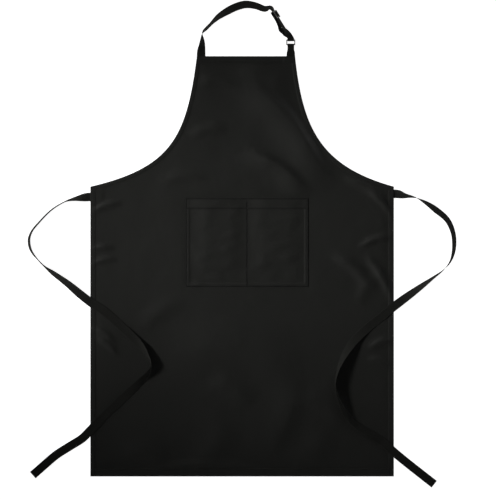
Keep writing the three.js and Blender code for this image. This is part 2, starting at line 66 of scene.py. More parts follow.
class Body(str, Enum):
    """The CAD bodies that pieces ride on."""

    APRON = "apron"
    LOOP = "neck_loop"
    RING = "ring"
    SLIDER = "slider"


class Slot(str, Enum):
    """The record's material slots."""

    TWILL = "twill"
    WEBBING = "webbing"
    THREAD = "thread"
    PLASTIC = "moulded_plastic"


# ---- shader expressions ----


class Value:
    """A shader socket that can be used in arithmetic: each operator adds its Math node."""

    def __init__(self, graph: "Graph", socket: bpy.types.NodeSocket) -> None:
        """Wraps one output socket of a graph."""
        self.graph = graph
        self.socket = socket

    def _math(self, operation: str, *terms: Any) -> "Value":
        """Adds one Math node.

        Args:
            operation: The node's operation.
            terms: Its inputs in order, as values or numbers.

        Returns:
            The node's result.
        """
        return self.graph.value(
            "ShaderNodeMath", {"operation": operation}, dict(enumerate(terms))
        )

    def __add__(self, other: Any) -> "Value":
        """Adds."""
        return self._math("ADD", self, other)

    def __radd__(self, other: Any) -> "Value":
        """Adds, from the right."""
        return self._math("ADD", other, self)

    def __sub__(self, other: Any) -> "Value":
        """Takes away."""
        return self._math("SUBTRACT", self, other)

    def __rsub__(self, other: Any) -> "Value":
        """Takes away, from the right."""
        return self._math("SUBTRACT", other, self)

    def __mul__(self, other: Any) -> "Value":
        """Multiplies."""
        return self._math("MULTIPLY", self, other)

    def __rmul__(self, other: Any) -> "Value":
        """Multiplies, from the right."""
        return self._math("MULTIPLY", other, self)

    def __truediv__(self, other: Any) -> "Value":
        """Divides."""
        return self._math("DIVIDE", self, other)

    def __abs__(self) -> "Value":
        """The size without its sign."""
        return self._math("ABSOLUTE", self)

    def __pow__(self, other: Any) -> "Value":
        """Raises to a power."""
        return self._math("POWER", self, other)

    def sine(self) -> "Value":
        """The sine of the value, in radians."""
        return self._math("SINE", self)

    def over(self, limit: float) -> "Value":
        """1 where the value is above a limit, 0 elsewhere."""
        return self._math("GREATER_THAN", self, limit)

    def between(self, low: float, high: float) -> "Value":
        """A smooth step from 0 at low to 1 at high."""
        return self.graph.value(
            "ShaderNodeMapRange",
            {"interpolation_type": "SMOOTHSTEP"},
            {"Value": self, "From Min": low, "From Max": high},
        )


class Nodes:
    """A node tree that takes nodes of any type."""

    def __init__(self, tree: bpy.types.NodeTree) -> None:
        """Takes the tree to fill."""
        self.tree = tree

    def node(self, kind: str, settings: dict[str, Any], inputs: dict[Any, Any]) -> bpy.types.Node:
        """Adds a node of any type.

        Args:
            kind: The node's type.
            settings: Its own settings, which are set first.
            inputs: Its sockets by name or number, each with a number, colour, value or socket.

        Returns:
            The node.
        """
        made = self.tree.nodes.new(kind)
        for name, setting in settings.items():
            setattr(made, name, setting)
        for socket, given in inputs.items():
            source = given.socket if isinstance(given, Value) else given
            if isinstance(source, bpy.types.NodeSocket):
                self.tree.links.new(source, made.inputs[socket])
            else:
                made.inputs[socket].default_value = source
        return made


class Graph(Nodes):
    """A material's node tree, built from expressions."""

    def __init__(self, name: str) -> None:
        """Makes an empty material of that name."""
        self.material = bpy.data.materials.new(name)
        self.material.use_nodes = True
        super().__init__(self.material.node_tree)
        self.tree.nodes.clear()

    def value(
        self, kind: str, settings: dict[str, Any], inputs: dict[Any, Any], output: Any = 0
    ) -> Value:
        """Adds a node and wraps one of its outputs, by name or number."""
        return Value(self, self.node(kind, settings, inputs).outputs[output])

    def object_place(self) -> Value:
        """Object coordinates, which are metres in the part's frame."""
        return self.value("ShaderNodeTexCoord", {}, {}, "Object")

    def cloth_place(self) -> Value:
        """The piece's own map, in metres across and along it."""
        return self.value("ShaderNodeUVMap", {"uv_map": UV_NAME}, {})

    def parts(self, vector: Value) -> tuple[Value, Value, Value]:
        """The X, Y and Z of a vector."""
        split = self.node("ShaderNodeSeparateXYZ", {}, {0: vector})
        return tuple(Value(self, output) for output in split.outputs)

    def noise(self, place: Value, scale: float, detail: float = 2.0, rough: float = 0.5) -> Value:
        """Fractal noise from 0 to 1 at a place."""
        inputs = {"Vector": place, "Scale": scale, "Detail": detail, "Roughness": rough}
        return self.value("ShaderNodeTexNoise", {}, inputs)

    def mix(self, factor: Any, first: Any, second: Any) -> Value:
        """The colour that far between two colours."""
        return Value(
            self,
            self.node(
                "ShaderNodeMix",
                {"data_type": "RGBA"},
                {0: factor, 6: first, 7: second},
            ).outputs[2],
        )

    def bump(self, height: Value, distance: float, strength: float) -> Value:
        """A normal that shows a height as relief."""
        inputs = {"Height": height, "Distance": distance, "Strength": strength}
        return self.value("ShaderNodeBump", {}, inputs)

    def finish(self, colour: Any, roughness: Any, normal: Any, **constants: float) -> bpy.types.Material:
        """Ends the graph in one surface shader.

        Args:
            colour: The base colour.
            roughness: The roughness.
            normal: The surface's normal.
            constants: Other sockets by name with _ for a space, each a plain number.

        Returns:
            The material.
        """
        inputs = {"Base Color": colour, "Roughness": roughness, "Normal": normal}
        inputs |= {name.replace("_", " "): number for name, number in constants.items()}
        shader = self.node("ShaderNodeBsdfPrincipled", {}, inputs)
        self.node("ShaderNodeOutputMaterial", {}, {"Surface": shader.outputs[0]})
        return self.material


UV_NAME = "cloth"
# The vertex attribute that carries painted shade along the twill's seams, edges and grooves.
SHADE_NAME = "seam_depth"
TURN = 2 * math.pi
Colour = tuple[float, float, float, float]


@dataclass(frozen=True)
class TwillFinish:
    """Black polyester-cotton twill: fine diagonal ribs, soft sheen, a faint unevenness and painted shade
    along its seams and edges.
    """

    ground: Colour = (0.0085, 0.0088, 0.0072, 1.0)
    rib: Colour = (0.0150, 0.0155, 0.0132, 1.0)
    lint: Colour = (0.0290, 0.0290, 0.0260, 1.0)
    # The seam colour is painted shade: the near-black that the cloth is blended towards where shadow falls in
    # grooves and at edges.
    seam: Colour = (0.0006, 0.0006, 0.0005, 1.0)
    pitch: float = 0.00085
    yarn: float = 0.00042
    angle: float = math.radians(63)

    def make(self) -> bpy.types.Material:
        """Builds the material."""
        graph = Graph("black_twill")
        place = graph.object_place()
        x, y, _ = graph.parts(place)
        wander = graph.noise(place, 160.0, 1.0) * 0.0006
        across = x * math.cos(self.angle) + y * math.sin(self.angle) + wander
        ribs = (across * (TURN / self.pitch)).sine() * 0.5 + 0.5
        yarns = ((x * math.sin(self.angle) - y * math.cos(self.angle)) * (TURN / self.yarn)).sine()
        weave = ribs * (yarns * 0.22 + 0.78)
        mottle = graph.noise(place, 9.0, 4.0, 0.55)
        slub = graph.noise(place, 420.0, 3.0, 0.6)
        fluff = graph.noise(place, 950.0, 1.0).between(0.66, 0.8) * 0.5
        tone = weave * 0.55 + slub * 0.2 + mottle * 0.35
        cloth = graph.mix(fluff, graph.mix(tone, self.ground, self.rib), self.lint)
        # Painted shade: the attribute darkens the cloth towards the seam colour in hem grooves, at edges and
        # along the pocket's outline, divider and hem line.
        painted_shade = graph.value("ShaderNodeAttribute", {"attribute_name": SHADE_NAME}, {}, "Fac")
        colour = graph.mix(painted_shade, cloth, self.seam)
        roughness = 0.56 + slub * 0.14 + mottle * 0.08 - weave * 0.06 + painted_shade * 0.3
        relief = weave * 0.75 + slub * 0.35
        return graph.finish(
            colour,
            roughness,
            graph.bump(relief, 0.00022, 0.7),
            Sheen_Weight=0.035,
            Sheen_Roughness=0.45,
            Specular_IOR_Level=0.42,
        )


@dataclass(frozen=True)
class TapeFinish:
    """Black woven tape: a herringbone of fine ribs between two firm selvedges."""

    ground: Colour = (0.0165, 0.0167, 0.0155, 1.0)
    rib: Colour = (0.0350, 0.0352, 0.0330, 1.0)
    selvedge: Colour = (0.0390, 0.0390, 0.0366, 1.0)
    pitch: float = 0.0011
    stripe: float = 0.0045
    edge_at: float = 0.0078

    def make(self) -> bpy.types.Material:
        """Builds the material."""
        graph = Graph("black_tape")
        place = graph.cloth_place()
        across, along, _ = graph.parts(place)
        fold = graph.value(
            "ShaderNodeMath", {"operation": "PINGPONG"}, {0: across + 0.1, 1: self.stripe}
        )
        rows = ((fold * 0.9 + along) * (TURN / self.pitch)).sine() * 0.5 + 0.5
        picks = (along * (TURN / (self.pitch * 0.5))).sine() * 0.5 + 0.5
        firm = abs(across).between(self.edge_at, self.edge_at + 0.0006)
        spot = graph.object_place()
        slub = graph.noise(spot, 520.0, 3.0, 0.6)
        worn = graph.noise(spot, 26.0, 3.0, 0.55)
        weave = rows * (1 - firm) + picks * firm
        body = graph.mix(weave * 0.6 + slub * 0.25 + worn * 0.3, self.ground, self.rib)
        colour = graph.mix(firm * worn * 0.8, body, self.selvedge)
        roughness = 0.5 + slub * 0.16 - firm * 0.06
        relief = weave * 0.7 + slub * 0.3 - firm * 0.25
        return graph.finish(
            colour,
            roughness,
            graph.bump(relief, 0.00028, 0.8),
            Specular_IOR_Level=0.0,
        )


@dataclass(frozen=True)
class ThreadFinish:
    """Black spun polyester thread with a visible twist."""

    ground: Colour = (0.0050, 0.0050, 0.0047, 1.0)
    ply: Colour = (0.0140, 0.0140, 0.0130, 1.0)
    twist: float = 0.00034

    def make(self) -> bpy.types.Material:
        """Builds the material."""
        graph = Graph("black_thread")
        place = graph.object_place()
        x, y, z = graph.parts(place)
        plies = ((x + y * 0.9 + z * 0.7) * (TURN / self.twist)).sine() * 0.5 + 0.5
        fuzz = graph.noise(place, 1800.0, 2.0)
        colour = graph.mix(plies * 0.7 + fuzz * 0.3, self.ground, self.ply)
        relief = plies * 0.8 + fuzz * 0.2
        return graph.finish(
            colour,
            0.42 + fuzz * 0.18,
            graph.bump(relief, 0.00006, 0.7),
            Sheen_Weight=0.02,
            Specular_IOR_Level=0.5,
        )


@dataclass(frozen=True)
class PlasticFinish:
    """Black moulded plastic with a fine tool grain and small rubbed marks."""

    ground: Colour = (0.0060, 0.0060, 0.0062, 1.0)
    rubbed: Colour = (0.0200, 0.0200, 0.0200, 1.0)

    def make(self) -> bpy.types.Material:
        """Builds the material."""
        graph = Graph("black_moulded_plastic")
        place = graph.object_place()
        grain = graph.noise(place, 2600.0, 2.0)
        marks = graph.noise(place, 240.0, 5.0, 0.7).between(0.56, 0.72)
        colour = graph.mix(marks * 0.45, self.ground, self.rubbed)
        return graph.finish(
            colour,
            0.40 + grain * 0.12 + marks * 0.16,
            graph.bump(grain, 0.00003, 0.5),
            Specular_IOR_Level=0.36,
        )


@dataclass(frozen=True)
class Wardrobe:
    """The four finishes that every piece is dressed in."""

    twill: bpy.types.Material
    tape: bpy.types.Material
    thread: bpy.types.Material
    plastic: bpy.types.Material

    @classmethod
    def make(cls) -> "Wardrobe":
        """Builds the four materials."""
        return cls(
            TwillFinish().make(), TapeFinish().make(), ThreadFinish().make(), PlasticFinish().make()
        )


# ---- mesh helpers ----


def smooth(value: np.ndarray, low: float, high: float) -> np.ndarray:
    """A smooth step from 0 at low to 1 at high."""
    share = np.clip((value - low) / (high - low), 0.0, 1.0)
    return share * share * (3 - 2 * share)


def rippled(x: np.ndarray, y: np.ndarray, scale: float, seed: float) -> np.ndarray:
    """Gradient noise from about -1 to 1 at places in a plane.

    Args:
        x: Places across, in metres.
        y: Places along, in metres.
        scale: The size of one lump, in metres.
        seed: Which slice of the noise is taken.

    Returns:
        The noise, in the shape of x.
    """
    flat = zip(np.ravel(x) / scale, np.ravel(y) / scale)
    values = [noise.noise(Vector((a, b, seed))) for a, b in flat]
    return np.array(values).reshape(np.shape(x))


def new_object(
    name: str,
    vertices: np.ndarray,
    faces: Sequence[Sequence[int]],
    material: bpy.types.Material,
    uvs: np.ndarray | None = None,
) -> bpy.types.Object:
    """Makes a smooth mesh object at the origin.

    Args:
        name: The piece's name.
        vertices: Places, one row each.
        faces: The vertices of each face.
        material: The finish.
        uvs: A place on the cloth for each vertex, in metres.

    Returns:
        The object.
    """
    mesh = bpy.data.meshes.new(name)
    mesh.from_pydata(vertices.tolist(), [], faces)
    if uvs is not None:
        layer = mesh.uv_layers.new(name=UV_NAME)
        corners = np.zeros(len(mesh.loops), dtype=np.int32)
        mesh.loops.foreach_get("vertex_index", corners)
        layer.data.foreach_set("uv", uvs[corners].astype(np.float32).ravel())
    mesh.materials.append(material)
    mesh.polygons.foreach_set("use_smooth", [True] * len(mesh.polygons))
    mesh.update()
    made = bpy.data.objects.new(name, mesh)
    bpy.context.scene.collection.objects.link(made)
    return made


def frozen(made: bpy.types.Object) -> bpy.types.Object:
    """Turns an object's modifiers into plain mesh and removes them."""
    depsgraph = bpy.context.evaluated_depsgraph_get()
    mesh = bpy.data.meshes.new_from_object(made.evaluated_get(depsgraph), depsgraph=depsgraph)
    made.modifiers.clear()
    made.data = mesh
    mesh.name = made.name
    return made


def closed_sheet(
    name: str,
    x: np.ndarray,
    y: np.ndarray,
    low: np.ndarray,
    high: np.ndarray,
    material: bpy.types.Material,
    shade: np.ndarray,
) -> bpy.types.Object:
    """A sheet of cloth with an upper and a lower side that meet in a rounded edge.

    Args:
        name: The piece's name.
        x: Places across, one row of the grid a row.
        y: Places along.
        low: Heights of the lower side.
        high: Heights of the upper side.
        material: The finish.
        shade: How far each place is darkened by painted seam shade, from 0 to 1.

    Returns:
        The object.
    """
    rows, columns = x.shape
    edge = np.ones((rows, columns), dtype=bool)
    edge[1:-1, 1:-1] = False
    top = np.where(edge, (low + high) / 2, high)
    upper = np.arange(rows * columns).reshape(rows, columns)
    lower = upper.copy()
    lower[~edge] = rows * columns + np.arange(int((~edge).sum()))
    vertices = np.concatenate(
        [
            np.stack([x, y, top], axis=-1).reshape(-1, 3),
            np.stack([x[~edge], y[~edge], low[~edge]], axis=-1),
        ]
    )

    def quads(index: np.ndarray) -> np.ndarray:
        """The grid's squares, anticlockwise."""
        corners = [index[:-1, :-1], index[:-1, 1:], index[1:, 1:], index[1:, :-1]]
        return np.stack(corners, axis=-1).reshape(-1, 4)

    faces = np.concatenate([quads(upper), quads(lower)[:, ::-1]]).tolist()
    made = new_object(name, vertices, faces, material, vertices[:, :2])
    # Stores the painted seam shade that the twill material uses to darken its colour.
    painted_shade = made.data.attributes.new(SHADE_NAME, "FLOAT", "POINT")
    painted_shade.data.foreach_set("value", np.concatenate([shade.ravel(), shade[~edge]]).astype(np.float32))
    return made


@dataclass
class Ribbon:
    """A tape as a row of sections: middles, width directions, normals, half widths and thickness."""

    middle: np.ndarray
    side: np.ndarray
    half: np.ndarray
    thick: np.ndarray

    @property
    def along(self) -> np.ndarray:
        """How far each section is along the tape."""
        steps = np.linalg.norm(np.diff(self.middle, axis=0), axis=1)
        return np.concatenate([[0.0], np.cumsum(steps)])

    @property
    def normal(self) -> np.ndarray:
        """The direction that each section's upper side faces."""
        tangent = np.gradient(self.middle, axis=0)
        normal = np.cross(tangent, self.side)
        return normal / np.linalg.norm(normal, axis=1, keepdims=True)

    def joined(self, other: "Ribbon") -> "Ribbon":
        """This ribbon followed by another."""
        return Ribbon(
            np.concatenate([self.middle, other.middle]),
            np.concatenate([self.side, other.side]),
            np.concatenate([self.half, other.half]),
            np.concatenate([self.thick, other.thick]),
        )

    def place(self, distance: float, across: float, lift: float) -> tuple[Vector, Vector]:
        """A point on the tape's upper or lower side.

        Args:
            distance: How far along the tape.
            across: From -1 at one edge to 1 at the other.
            lift: Off the middle of the thickness, below 0 for the lower side.

        Returns:
            The point, and the direction that the side faces there.
        """
        index = int(np.argmin(np.abs(self.along - distance)))
        normal = self.normal[index]
        point = self.middle[index] + self.side[index] * self.half[index] * across + normal * lift
        return Vector(point), Vector(normal * math.copysign(1.0, lift))


SECTION = (
    (-1.0, 0.0), (-0.985, 0.62), (-0.93, 0.98), (-0.84, 0.86), (-0.5, 0.8), (0.0, 0.8), (0.5, 0.8),
    (0.84, 0.86), (0.93, 0.98), (0.985, 0.62), (1.0, 0.0), (0.985, -0.62), (0.93, -0.98),
    (0.84, -0.86), (0.5, -0.8), (0.0, -0.8), (-0.5, -0.8), (-0.84, -0.86), (-0.93, -0.98),
    (-0.985, -0.62),
)


def tape_mesh(name: str, ribbon: Ribbon, material: bpy.types.Material) -> bpy.types.Object:
    """A closed tape with firm, slightly raised selvedges along a ribbon.

    Args:
        name: The piece's name.
        ribbon: Where the tape runs.
        material: The finish.

    Returns:
        The object.
    """
    ends = 0.00018
    first, last = slice(0, 1), slice(-1, None)
    tangent = np.gradient(ribbon.middle, axis=0)
    tangent /= np.linalg.norm(tangent, axis=1, keepdims=True)
    caps = [
        Ribbon(
            ribbon.middle[at] + tangent[at] * ends * way,
            ribbon.side[at],
            ribbon.half[at] - ends,
            ribbon.thick[at] * 0.35,
        )
        for at, way in ((first, -1.0), (last, 1.0))
    ]
    whole = caps[0].joined(ribbon).joined(caps[1])
    normal = np.concatenate([ribbon.normal[first], ribbon.normal, ribbon.normal[last]])
    across = np.array([point[0] for point in SECTION])
    up = np.array([point[1] for point in SECTION])
    places = (
        whole.middle[:, None]
        + whole.side[:, None] * (across[None, :, None] * whole.half[:, None, None])
        + normal[:, None] * (up[None, :, None] * whole.thick[:, None, None] / 2)
    )
    count, ring = len(whole.middle), len(SECTION)
    index = np.arange(count * ring).reshape(count, ring)
    turned = np.roll(index, -1, axis=1)
    faces = np.stack([index[:-1], index[1:], turned[1:], turned[:-1]], axis=-1).reshape(-1, 4)
    faces = faces.tolist() + [index[0].tolist(), index[-1][::-1].tolist()]
    uvs = np.stack(
        np.broadcast_arrays(across[None] * whole.half[:, None], whole.along[:, None]), axis=-1
    )
    return new_object(name, places.reshape(-1, 3), faces, material, uvs.reshape(-1, 2))


def keep_faces_outward(made: bpy.types.Object) -> bpy.types.Object:
    """Turns a closed mesh's faces outwards where its volume comes out negative."""
    work = bmesh.new()
    work.from_mesh(made.data)
    if work.calc_volume(signed=True) < 0:
        bmesh.ops.reverse_faces(work, faces=work.faces)
    work.to_mesh(made.data)
    work.free()
    return made


def rides(
    made: bpy.types.Object, body: Body, slot: Slot, nodes: Iterable[str] = ()
) -> bpy.types.Object:
    """Puts a finished piece on a body and hides the nodes it stands for.

    Args:
        made: The piece.
        body: The body that it rides on.
        slot: The record's material slot; not used.
        nodes: The CAD nodes that it replaces.

    Returns:
        The piece.
    """
    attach(made, body.value)
    return listed(made, slot, nodes)


def listed(made: bpy.types.Object, slot: Slot, nodes: Iterable[str] = ()) -> bpy.types.Object:
    """Hides the nodes that a piece stands for and reports it."""
    if nodes:
        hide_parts(*nodes)
    log.info("%s: %d faces", made.name, len(made.data.polygons))
    return made


# ---- the cloth and how it lies ----


@dataclass(frozen=True)
class Crease:
    """A soft ridge between two places: its height, and how far its two flanks reach."""

    start: tuple[float, float]
    end: tuple[float, float]
    height: float
    left: float
    right: float

    def rise(self, x: np.ndarray, y: np.ndarray) -> np.ndarray:
        """How far the ridge lifts the cloth at each place."""
        run = np.subtract(self.end, self.start)
        length = float(np.hypot(*run))
        unit = run / length
        along = (x - self.start[0]) * unit[0] + (y - self.start[1]) * unit[1]
        aside = (y - self.start[1]) * unit[0] - (x - self.start[0]) * unit[1]
        bend = 0.07 * length * np.sin(math.pi * np.clip(along / length, 0, 1))
        aside = aside - bend
        reach = np.where(aside > 0, self.left, self.right)
        taper = 0.3 * length
        ends = smooth(along, -taper, taper) * (1 - smooth(along, length - taper, length + taper))
        return self.height * np.exp(-((aside / reach) ** 2)) * ends


@dataclass(frozen=True)
class PanelPattern:
    """The flat cut of the front: a rectangular skirt and a bib between two armholes."""

    half_width: float = 0.335
    length: float = 0.640
    bib_height: float = 0.288
    bib_left: float = -0.100
    bib_right: float = 0.117
    handles_left: tuple = ((0.763, 0.146), (0.904, 0.379))
    handles_right: tuple = ((0.741, 0.156), (0.922, 0.441))
    side_hem: float = 0.010
    armhole_hem: float = 0.008
    top_hem: float = 0.014
    bottom_hem: float = 0.016

    def armhole(self, right: bool, t: np.ndarray) -> np.ndarray:
        """Points on an armhole.

        Args:
            right: Whether it is the right one.
            t: From 0 at the waist corner to 1 at the bib's top.

        Returns:
            The points, one row each.
        """
        edge = self.half_width if right else -self.half_width
        top = self.bib_right if right else self.bib_left
        handles = self.handles_right if right else self.handles_left
        corners = [(edge, 0.0)]
        corners += [(edge + (top - edge) * a, self.bib_height * b) for a, b in handles]
        corners += [(top, self.bib_height)]
        shares = [(1 - t) ** 3, 3 * (1 - t) ** 2 * t, 3 * (1 - t) * t**2, t**3]
        return sum(share[:, None] * np.array(corner) for share, corner in zip(shares, corners))

    def side(self, right: bool, y: np.ndarray) -> np.ndarray:
        """Where a side edge is at each height."""
        curve = self.armhole(right, np.linspace(0, 1, 600))
        return np.interp(y, curve[:, 1], curve[:, 0])

    def flat_area(self) -> float:
        """The area of the cut, in square metres."""
        y = np.linspace(0, self.bib_height, 800)
        bib = float(np.trapz(self.side(True, y) - self.side(False, y), y))
        return 2 * self.half_width * self.length + bib

    def armhole_distance(self, x: np.ndarray, y: np.ndarray) -> np.ndarray:
        """How far each place is from the nearer armhole."""
        t = np.linspace(0, 1, 160)
        edge = np.concatenate([self.armhole(True, t), self.armhole(False, t)])
        flat = np.stack([np.ravel(x), np.ravel(y)], axis=-1)
        nearest = np.full(len(flat), 1.0)
        near = flat[:, 1] > -0.03
        gaps = flat[near, None] - edge[None]
        nearest[near] = np.sqrt((gaps**2).sum(axis=-1)).min(axis=1)
        return nearest.reshape(np.shape(x))


class Cloth:
    """How the front lies: the height of its two sides at any place."""

    WEIGHT = 0.00055
    HEM = 0.0008
    DEPTH = 1.05
    POCKET_ACROSS = (-0.124, 0.146)
    POCKET_ALONG = (-0.221, -0.026)
    CREASES = (
        Crease((0.036, 0.214), (0.172, 0.040), 0.0118, 0.018, 0.046),
        Crease((0.030, 0.070), (0.132, -0.002), 0.0068, 0.013, 0.028),
        Crease((0.010, 0.262), (0.088, 0.215), 0.0036, 0.030, 0.018),
        Crease((-0.105, 0.118), (-0.045, 0.128), 0.0028, 0.013, 0.011),
        Crease((-0.090, 0.235), (-0.020, 0.226), 0.0024, 0.012, 0.010),
        Crease((-0.168, 0.016), (-0.090, 0.022), 0.0020, 0.015, 0.012),
        Crease((-0.330, -0.054), (-0.276, -0.036), 0.0042, 0.006, 0.007),
        Crease((-0.331, -0.136), (-0.290, -0.134), 0.0034, 0.005, 0.006),
        Crease((-0.331, -0.170), (-0.284, -0.160), 0.0032, 0.006, 0.006),
        Crease((0.242, 0.016), (0.300, -0.018), 0.0048, 0.010, 0.012),
        Crease((0.292, -0.016), (0.329, -0.062), 0.0046, 0.007, 0.007),
        Crease((0.268, -0.128), (0.326, -0.112), 0.0044, 0.007, 0.006),
        Crease((0.212, -0.156), (0.276, -0.212), 0.0042, 0.012, 0.012),
        Crease((0.286, -0.168), (0.331, -0.246), 0.0056, 0.009, 0.009),
        Crease((0.258, -0.250), (0.300, -0.196), 0.0020, 0.014, 0.016),
        Crease((-0.331, -0.312), (-0.286, -0.338), 0.0036, 0.006, 0.007),
        Crease((-0.318, -0.335), (-0.280, -0.366), 0.0030, 0.006, 0.006),
        Crease((-0.216, -0.306), (-0.140, -0.256), 0.0024, 0.022, 0.018),
        Crease((0.286, -0.352), (0.331, -0.338), 0.0036, 0.007, 0.008),
        Crease((0.284, -0.380), (0.330, -0.396), 0.0030, 0.008, 0.008),
        Crease((-0.130, -0.345), (0.100, -0.402), 0.0052, 0.080, 0.040),
        Crease((0.112, -0.440), (0.072, -0.566), 0.0036, 0.022, 0.036),
        Crease((-0.040, -0.520), (-0.090, -0.615), 0.0026, 0.028, 0.030),
        Crease((-0.250, -0.575), (-0.180, -0.605), 0.0026, 0.018, 0.018),
        Crease((-0.235, -0.637), (0.070, -0.638), 0.0030, 0.012, 0.016),
        Crease((0.128, -0.470), (0.214, -0.506), 0.0026, 0.026, 0.022),
        Crease((0.190, -0.545), (0.120, -0.610), 0.0024, 0.026, 0.030),
        Crease((-0.060, -0.430), (0.010, -0.470), 0.0028, 0.022, 0.018),
    )

    def __init__(self, pattern: PanelPattern, sewn: Sequence[tuple[float, float]]) -> None:
        """Lays a pattern's cloth.

        Args:
            pattern: The cut.
            sewn: The middles of the tape ends that are sewn behind it.
        """
        self.pattern = pattern
        self.sewn = sewn

    def edge_gaps(self, x: np.ndarray, y: np.ndarray) -> list[tuple[np.ndarray, float]]:
        """How far each place is from each edge, with that edge's hem."""
        cut = self.pattern
        side = np.where(y < 0.001, cut.half_width - np.abs(x), 1.0)
        return [
            (side, cut.side_hem),
            (cut.armhole_distance(x, y), cut.armhole_hem),
            (cut.bib_height - y, cut.top_hem),
            (y + cut.length, cut.bottom_hem),
        ]

    def lift(self, x: np.ndarray, y: np.ndarray) -> np.ndarray:
        """How far the cloth's lower side is off the table."""
        x, y = np.asarray(x, dtype=float), np.asarray(y, dtype=float)
        waves = 0.0011 * rippled(x, y, 0.085, 3.1) + 0.0014 * rippled(x * 0.8, y, 0.19, 8.7)
        waves += 0.00035 * rippled(x, y * 0.9, 0.034, 5.5) + 0.00012 * rippled(x, y, 0.013, 1.9)
        creases = self.DEPTH * sum(crease.rise(x, y) for crease in self.CREASES)
        gap = np.minimum.reduce([distance for distance, _ in self.edge_gaps(x, y)])
        pucker = 0.00022 * rippled(x * 3.2, y * 3.2, 0.022, 6.3) * np.exp(-gap / 0.016)
        lying = 0.00055 + np.maximum(waves, -0.0005) + creases + np.maximum(pucker, -0.0002)
        lying = lying * (0.35 + 0.65 * smooth(gap, 0.0, 0.03))
        under_pocket = self.near_pocket(x, y)
        lying = lying * (1 - 0.55 * under_pocket)
        return self.over_sewn_ends(x, y, np.maximum(lying, 0.00004))

    def near_pocket(self, x: np.ndarray, y: np.ndarray) -> np.ndarray:
        """1 well inside the pocket's outline and 0 outside it."""
        (left, right), (bottom, mouth) = self.POCKET_ACROSS, self.POCKET_ALONG
        inside = np.minimum(np.minimum(x - left, right - x), np.minimum(y - bottom, mouth - y))
        return smooth(inside, -0.012, 0.012)

    def over_sewn_ends(self, x: np.ndarray, y: np.ndarray, lying: np.ndarray) -> np.ndarray:
        """Raises the cloth over the tape ends behind it."""
        for middle_x, middle_y in self.sewn:
            near = smooth(0.019 - np.maximum(np.abs(x - middle_x), np.abs(y - middle_y)), 0.0, 0.005)
            lying = np.maximum(lying, 0.00098 * near)
        return lying

    def thickness(self, x: np.ndarray, y: np.ndarray) -> np.ndarray:
        """How thick the cloth is: one layer, and more where a hem is turned."""
        turned = np.zeros(np.shape(x))
        groove = np.zeros(np.shape(x))
        for distance, hem in self.edge_gaps(x, y):
            turned = np.maximum(turned, 1 - smooth(distance, hem, hem + 0.0014))
            groove = np.maximum(groove, np.exp(-(((distance - hem + 0.0008) / 0.0009) ** 2)))
        return self.WEIGHT + self.HEM * turned - 0.00022 * groove

    def seam_depth(self, x: np.ndarray, y: np.ndarray) -> np.ndarray:
        """How much painted shade darkens each place in a hem's stitching groove and along the cloth's edges.
        """
        painted_shade = np.zeros(np.shape(x))
        # Painted shade: 0.35 in each hem's stitch groove and 0.5 right at the cut edge.
        for distance, hem in self.edge_gaps(x, y):
            painted_shade = np.maximum(painted_shade, 0.35 * np.exp(-(((distance - hem + 0.0008) / 0.0009) ** 2)))
            painted_shade = np.maximum(painted_shade, 0.5 * np.exp(-((distance / 0.0009) ** 2)))
        return painted_shade

    def top(self, x: Any, y: Any) -> np.ndarray:
        """The height of the cloth's upper side."""
        x, y = np.asarray(x, dtype=float), np.asarray(y, dtype=float)
        return self.lift(x, y) + self.thickness(x, y)

    def covers(self, x: np.ndarray, y: np.ndarray) -> np.ndarray:
        """Whether each place is over the cloth, or within a little of it."""
        cut = self.pattern
        margin = 0.004
        inside = (x > cut.side(False, y) - margin) & (x < cut.side(True, y) + margin)
        return inside & (y > -cut.length - margin) & (y < cut.bib_height + margin)


def spread(
    start: Sequence[float], first: float, last: float, step: float, end: Sequence[float]
) -> np.ndarray:
    """Places that are close together at both ends and evenly spaced between.

    Args:
        start: Places up to the even run.
        first: Where the even run starts.
        last: Where it ends.
        step: The spacing wanted in it.
        end: Places after it.

    Returns:
        All the places in order.
    """
    count = max(2, round((last - first) / step))
    return np.concatenate([start, np.linspace(first, last, count), end])


@dataclass
class FrontPanel:
    """The apron's front: one sheet of twill with turned hems."""

    cloth: Cloth
    wardrobe: Wardrobe
    fine: tuple[float, ...] = (
        *(0.0, 0.0004, 0.0012, 0.0028, 0.0048, 0.0066),
        *(0.0078, 0.0088, 0.0094, 0.0102, 0.0114, 0.0134),
    )
    deep: tuple[float, ...] = (
        *(0.0, 0.0004, 0.0014, 0.0036, 0.0070, 0.0105),
        *(0.0130, 0.0144, 0.0152, 0.0160, 0.0172, 0.0190),
    )
    columns: int = 148
    step: float = 0.0041

    def rows(self) -> np.ndarray:
        """The heights of the grid's rows, close together at the hems and the waist corners."""
        cut = self.cloth.pattern
        low = -cut.length + np.array(self.deep)
        high = cut.bib_height - np.array(self.deep)[::-1]
        t = np.linspace(0, 1, 74)
        bib = cut.armhole(False, t)[:, 1]
        bib = bib[(bib > 0.0004) & (bib < high[0] - 0.0015)]
        waist = np.array([-0.0012, -0.0002, 0.0])
        return np.concatenate([spread(low, low[-1] + 0.003, -0.004, self.step, waist), bib, high])

    def build(self) -> bpy.types.Object:
        cut = self.cloth.pattern
        rows = self.rows()
        left, right = cut.side(False, rows), cut.side(True, rows)
        inner = np.linspace(0.0, 1.0, self.columns)
        margin = self.fine[-1] + 0.002
        columns = [left + offset for offset in self.fine]
        columns += [left + margin + (right - left - 2 * margin) * share for share in inner]
        columns += [right - offset for offset in reversed(self.fine)]
        x = np.stack(columns, axis=1)
        y = np.repeat(rows[:, None], x.shape[1], axis=1)
        low = self.cloth.lift(x, y)
        sheet = closed_sheet(
            "front_panel_cloth",
            x,
            y,
            low,
            low + self.cloth.thickness(x, y),
            self.wardrobe.twill,
            self.cloth.seam_depth(x, y),
        )
        rides(sheet, Body.APRON, Slot.TWILL, ["front_panel"])
        cut.flat_area()
        return sheet


